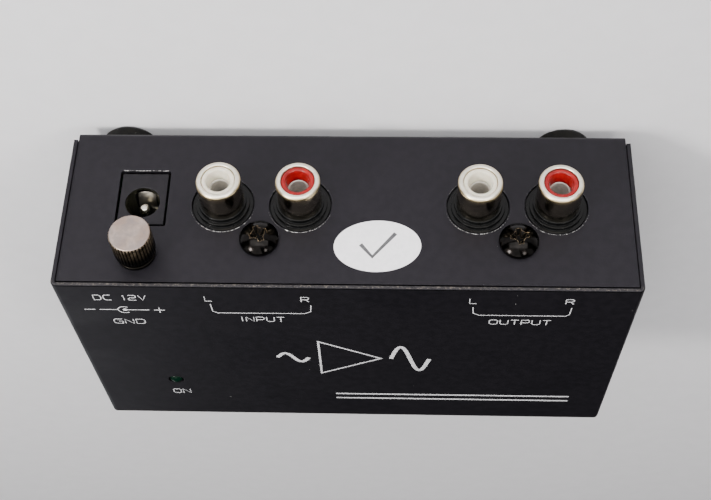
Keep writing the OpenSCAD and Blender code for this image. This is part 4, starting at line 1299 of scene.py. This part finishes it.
bpy.ops.mesh.primitive_grid_add(x_subdivisions=4, y_subdivisions=LEAF_ROWS, size=1)
leaf = bpy.context.object
leaf.scale = (LEAF_W * MM, LEAF_LEN * MM, 1)
leaf.location = (dc_mid.x * MM, (leaf_y + LEAF_LEN / 2) * MM, leaf_z * MM)
bake_place(leaf)
for i in range(LEAF_ROWS + 1):
    s = LEAF_LEN * i / LEAF_ROWS
    if bow(s) > 0:
        pick(leaf, "VERT", lambda co: abs(co.y - leaf_y - s) < 0.05)
        bpy.ops.transform.translate(value=(0, 0, bow(s) * MM))
use(leaf, "SOLIDIFY", thickness=LEAF_T * MM, offset=0)
soften(leaf, 0.06, 2, 50)
finish_piece(
    leaf, "power_socket_leaf", "contact_metal", "dc_jack_leaf", body="dc_leaf", finish="contact_satin"
)

# %% [markdown]
# ## The ground screw
# Its head is a cylinder with a straight knurl. A cylinder with four sides to each ridge is
# added, both ends get a chamfer, the top one in two steps, and every fourth edge is pushed
# in to make the grooves. The thread is a real helix: a tooth's section swept by the Screw
# modifier round a plain core.

# %% Ground screw: knurled head
HEAD_R, NECK, BASE, HEAD_TOP = 3.85, 0.6, 1.0, 7.6
RIDGES, RIDGE_DEEP = 38, 0.28
CHAMFERS = ((1, 0.2, 0.965), (1, 0.15, 0.963), (-1, -0.45, 0.9))  # which end, rise, shrink
head_low = BASE + NECK
wall_low = head_low - CHAMFERS[2][1]
wall_high = HEAD_TOP - CHAMFERS[0][1] - CHAMFERS[1][1]
bpy.ops.mesh.primitive_cylinder_add(
    vertices=RIDGES * 4, radius=HEAD_R * MM, depth=(wall_high - wall_low) * MM,
    location=(0, 0, (wall_low + wall_high) / 2 * MM),
)
thumb = bpy.context.object
bake_place(thumb)
for end, rise, shrink in CHAMFERS:
    pick(thumb, "FACE", lambda c, n: n.z * end > 0.9)
    bpy.ops.mesh.extrude_region_move(TRANSFORM_OT_translate={"value": (0, 0, rise * MM)})
    bpy.ops.transform.resize(value=(shrink, shrink, 1), center_override=(0, 0, 0))


def in_groove(co):
    step = round(atan2(co.y, co.x) / tau * RIDGES * 4)
    return hypot(co.x, co.y) > HEAD_R - 0.02 and step % 4 == 0


pick(thumb, "VERT", in_groove)
groove = 1 - RIDGE_DEEP / HEAD_R
bpy.ops.transform.resize(value=(groove, groove, 1), center_override=(0, 0, 0))
soften(thumb, 0.035, 2, 25)

# %% Ground screw: neck, core and thread
THREAD_R, CORE_R, PITCH, TURNS, STUD = 1.95, 1.62, 0.7, 12, 10
NECK_HIGH, NECK_WIDE, STUD_END = head_low + 0.1, HEAD_R - 0.7, BASE - STUD
stud = turned(
    [
        (0, NECK_HIGH), (NECK_WIDE, NECK_HIGH), (NECK_WIDE, BASE), (CORE_R, BASE),
        (CORE_R, STUD_END), (0, STUD_END),
    ],
    {2: 0.12, 4: 0.3},
    64,
)
foot_z, root_r = STUD_END + 0.3, CORE_R - 0.05
tooth = outline([
    (root_r, foot_z), (THREAD_R, foot_z + 0.28), (THREAD_R, foot_z + 0.34),
    (root_r, foot_z + 0.62), (root_r, foot_z),
])
sweep = {"axis": "Z", "angle": tau, "steps": 32, "render_steps": 32, "use_merge_vertices": False}
use(tooth, "SCREW", screw_offset=PITCH * MM, iterations=TURNS, **sweep)
edit(tooth)
bpy.ops.mesh.select_mode(type="EDGE")
bpy.ops.mesh.select_all(action="DESELECT")
bpy.ops.mesh.select_non_manifold(extend=False)
bpy.ops.mesh.edge_face_add()
bpy.ops.mesh.select_all(action="SELECT")
bpy.ops.mesh.normals_make_consistent(inside=False)
smooth(tooth, 30)
join(thumb, stud, tooth)
face_out(thumb, GROUND.x, GROUND.z)
finish_piece(thumb, "ground_screw_head", "thumb_nickel", "ground_thumb_screw", body="ground_screw")
dress_faces(thumb, "thumb_face", lambda c, n: n.y > 0.3 and c.y > PANEL + HEAD_TOP - 0.14)

# %% Ground screw: captive washer
washer_low, washer_high = low("ground_clamp_washer"), high("ground_clamp_washer")
eye, wide = THREAD_R + 0.1, (washer_high.x - washer_low.x) / 2
thick = washer_high.y - washer_low.y
washer = turned(
    [(eye, 0), (wide, 0), (wide, thick), (eye, thick), (eye, 0)],
    {0: 0.1, 1: 0.15, 2: 0.22, 3: 0.15}, 72,
)
face_out(washer, GROUND.x, GROUND.z, washer_low.y)
finish_piece(
    washer, "ground_screw_washer", "thumb_nickel", "ground_clamp_washer", body="ground_carrier"
)

# %% [markdown]
# ## Feet and the light
# A rubber foot is a turned ring with a wide chamfer at the table and a seat for its screw.
# The light is a standard 3 mm one: a flange inside the case, a straight barrel and a domed tip.

# %% Feet
FOOT_H, BEVEL, WELL_R, WELL_DEEP, EYE_R = 3, 0.64, 3.1, 1.8, 1.65
FOOT_R = (high("foot_rear_left").x - low("foot_rear_left").x) / 2
foot = turned(
    [
        (WELL_R, 0), (FOOT_R - BEVEL, 0), (FOOT_R, BEVEL), (FOOT_R, FOOT_H),
        (EYE_R, FOOT_H), (EYE_R, WELL_DEEP), (WELL_R, WELL_DEEP), (WELL_R, 0),
    ],
    {0: 0.15, 1: 0.25, 2: 0.3, 3: 0.22},
)
for name in FEET:
    spot = middle("foot_" + name)
    one = copy_to(foot, spot.x, 0, spot.y)
    finish_piece(one, "rubber_foot_" + name, "foot_rubber", "foot_" + name)
bpy.data.objects.remove(foot)

# %% The light
led_low, led_high = low("led_lens"), high("led_lens")
LED_R, FLANGE_R, FLANGE = 1.5, 1.9, led_low.z + 1
quarter = [i * pi / 24 for i in range(12)]
dome = [(LED_R * cos(a), led_high.z - LED_R + LED_R * sin(a)) for a in quarter]
flange = [(0, led_low.z), (FLANGE_R, led_low.z), (FLANGE_R, FLANGE), (LED_R, FLANGE)]
lens = turned(flange + dome + [(0, led_high.z)], {1: 0.1, 2: 0.1}, 64)
lens.location = (LIGHT.x * MM, LIGHT.y * MM, 0)
finish_piece(lens, "light_lens", "led_green", "led_lens")

# %% [markdown]
# ## The oval sticker
# A thin disc of paper, scaled to an oval and turned slightly, as a hand puts it on. It
# carries a plain tick.

# %% Sticker
s_low, s_high = low("round_sticker"), high("round_sticker")
s_mid = (s_low + s_high) / 2
STICKER_W, STICKER_H, STICKER_TURN = 16, 10.8, 2
bpy.ops.mesh.primitive_cylinder_add(vertices=128, radius=0.5, depth=1)
sticker = bpy.context.object
sticker.scale = (STICKER_W * MM, STICKER_H * MM, (s_high.y - s_low.y) * MM)
bake_place(sticker)
sticker.rotation_euler.z = radians(STICKER_TURN)
bake_place(sticker)
soften(sticker, 0.03, 2, 40)
face_out(sticker, s_mid.x, s_mid.z, s_mid.y)
finish_piece(sticker, "oval_sticker", "sticker_paper", "round_sticker")

# %% [markdown]
# ## Print
# The print is thin ink lines. Each line is a curve with a small round section, turned into a
# mesh and flattened to the thickness of ink. The letters are drawn from a few strokes on a
# unit square, so one small table gives every word on the case. The words only say what each
# socket is for, and beside them stand the sign for the power plug's poles and a bracket for
# each pair of sockets. The middle of the cover has a plain sign for an amplifier: a small
# wave, a triangle and a larger wave, with two fine lines below.


# %% Print: strokes
def ink(name, strokes, width, slot, finish, to_panel=False, at=(0, 0, 0), thick=0.03):
    """Makes ink lines from strokes, lists of (x, y) in mm, on the cover or on the panel."""
    curve = bpy.data.curves.new(name, "CURVE")
    curve.dimensions = "3D"
    curve.bevel_depth = width / 2 * MM
    curve.bevel_resolution = 2
    curve.use_fill_caps = True
    for stroke in strokes:
        closed = stroke[0] == stroke[-1]
        spots = stroke[:-1] if closed else stroke
        line = curve.splines.new("POLY")
        line.points.add(len(spots) - 1)
        for point, (x, y) in zip(line.points, spots):
            point.co = (x * MM, y * MM, 0, 1)
        line.use_cyclic_u = closed
    piece = bpy.data.objects.new(name, curve)
    bpy.context.scene.collection.objects.link(piece)
    only(piece)
    bpy.ops.object.convert(target="MESH")
    piece.scale.z = thick / width * 2
    bake_place(piece)
    if to_panel:
        piece.rotation_euler = (-pi / 2, 0, 0)
    piece.location = [c * MM for c in at]
    smooth(piece, 40, False)
    return finish_piece(piece, name, slot, finish=finish)


# %% Print: letters
LETTERS = {
    "C": [[(1, 1), (0.22, 1), (0, 0.8), (0, 0.2), (0.22, 0), (1, 0)]],
    "D": [[(0, 0), (0, 1), (0.75, 1), (1, 0.78), (1, 0.22), (0.75, 0), (0, 0)]],
    "G": [[(1, 1), (0.22, 1), (0, 0.8), (0, 0.2), (0.22, 0), (1, 0), (1, 0.5), (0.55, 0.5)]],
    "I": [[(0.5, 0), (0.5, 1)]],
    "L": [[(0, 1), (0, 0), (0.9, 0)]],
    "N": [[(0, 0), (0, 1), (1, 0), (1, 1)]],
    "O": [[(0.22, 0), (0.78, 0), (1, 0.2), (1, 0.8), (0.78, 1), (0.22, 1), (0, 0.8), (0, 0.2), (0.22, 0)]],
    "P": [[(0, 0), (0, 1), (0.8, 1), (1, 0.85), (1, 0.55), (0.8, 0.4), (0, 0.4)]],
    "R": [[(0, 0), (0, 1), (0.8, 1), (1, 0.85), (1, 0.6), (0.8, 0.45), (0, 0.45)], [(0.6, 0.45), (1, 0)]],
    "T": [[(0, 1), (1, 1)], [(0.5, 1), (0.5, 0)]],
    "U": [[(0, 1), (0, 0.2), (0.22, 0), (0.78, 0), (1, 0.2), (1, 1)]],
    "V": [[(0, 1), (0.5, 0), (1, 1)]],
    "1": [[(0.3, 0.8), (0.55, 1), (0.55, 0)]],
    "2": [[(0, 1), (0.8, 1), (1, 0.85), (1, 0.62), (0.8, 0.48), (0.2, 0.48), (0, 0.34), (0, 0), (1, 0)]],
}
NARROW = {"I": 0.4, "1": 0.6, " ": 0.7}
LINE, LETTER_GAP = 0.22, 0.5


def word(text, left, right, low_y, high_y):
    """Strokes of a word that fills a place on the cover."""
    shares = [NARROW.get(c, 1) for c in text]
    unit = (right - left - LETTER_GAP * (len(text) - 1)) / sum(shares)
    strokes, x = [], left
    for c, share in zip(text, shares):
        for stroke in LETTERS.get(c, []):
            strokes.append([(x + unit * share * u, low_y + (high_y - low_y) * v) for u, v in stroke])
        x += unit * share + LETTER_GAP
    return strokes


def ring(x, y, r, count=20):
    turns = [tau * i / count for i in range(count)]
    return [(x + r * cos(a), y + r * sin(a)) for a in turns] + [(x + r, y)]


# %% Print: words and signs
WORDS = (  # text, then its left, right, lower and upper edge in mm
    ("DC 12V", -46.4, -36.7, 20.0, 21.9), ("GND", -44.4, -38.5, 10.4, 12.2),
    ("L", -25.9, -24.5, 19.95, 21.75), ("R", -8.2, -6.8, 20.1, 21.9),
    ("INPUT", -20.1, -11.8, 11.9, 13.7),
    ("L", 22.5, 23.9, 20.2, 22.0), ("R", 39.9, 41.3, 20.4, 22.2),
    ("OUTPUT", 26.6, 38.0, 11.9, 13.7),
    ("ON", -38.1, -34.5, -22.8, -20.8),
)
POLE_Y, POLE_X, CUP_X, CUP_R = 16.1, -41.4, -41.5, 1.25
words = [stroke for text in WORDS for stroke in word(*text)]
cup = [radians(d) for d in range(55, 306, 25)]
signs = [
    [(-49.1, POLE_Y), (-47.0, POLE_Y)], [(-46.2, POLE_Y), (-42.75, POLE_Y)],
    [(-41.3, POLE_Y), (-36.8, POLE_Y)], [(-36.0, POLE_Y), (-33.9, POLE_Y)],
    [(-34.95, POLE_Y - 1), (-34.95, POLE_Y + 1)],
    ring(POLE_X, POLE_Y, 0.36, 12), ring(POLE_X, POLE_Y, 0.14, 8),
    [(CUP_X + CUP_R * cos(a), POLE_Y + CUP_R * sin(a)) for a in cup],
    [(-25.1, 18.8), (-25.0, 16.0), (-24.2, 15.25), (-7.9, 15.35), (-6.7, 16.1), (-6.5, 18.7)],
    [(23.2, 18.7), (23.4, 16.3), (24.5, 15.55), (40.4, 15.55), (41.1, 16.2), (41.2, 18.9)],
]
ink("printed_words", words + signs, LINE, "sticker_paper", "print_white", at=(0, 0, TOP))


# %% Print: the amplifier sign and a fine double line
def wave(left, right, y, swing, count=40):
    shares = [i / count for i in range(count + 1)]
    return [(left + (right - left) * s, y + swing * sin(tau * s)) for s in shares]


SIGN_Y, HALF, LINES_Y = -4.1, 7.4, (-22.1, -24.3)
amplifier = [
    wave(-14.4, -8.2, SIGN_Y, 1.9),
    [(-6.0, SIGN_Y - HALF), (-6.0, SIGN_Y + HALF), (6.2, SIGN_Y), (-6.0, SIGN_Y - HALF)],
    wave(8.2, 15.8, SIGN_Y, 5.4),
]
ink("amplifier_sign", amplifier, 0.85, "sticker_paper", "print_white", at=(0, 0, TOP))
stripes = [[(-3.5, y), (45.7, y)] for y in LINES_Y]
ink("fine_lines", stripes, 0.6, "sticker_paper", "print_white", at=(0, 0, TOP))
tick = [[(-3.1, 0.3), (-0.9, -2.3), (3.3, 2.7)]]
ink("sticker_tick", tick, 0.75, "case_paint", "print_grey", True, (s_mid.x, s_high.y, s_mid.z), 0.02)

# %% [markdown]
# ## What stays as it is
# The pieces inside the case keep their CAD meshes, which already have the right shape. Each
# only gets the finish of its slot.

# %% Finishes on the CAD nodes
for part in frame["record"]["subparts"]:
    mesh = frame["nodes"][part["node"]].data
    mesh.materials.clear()
    mesh.materials.append(FINISH[part["material_slot"]])
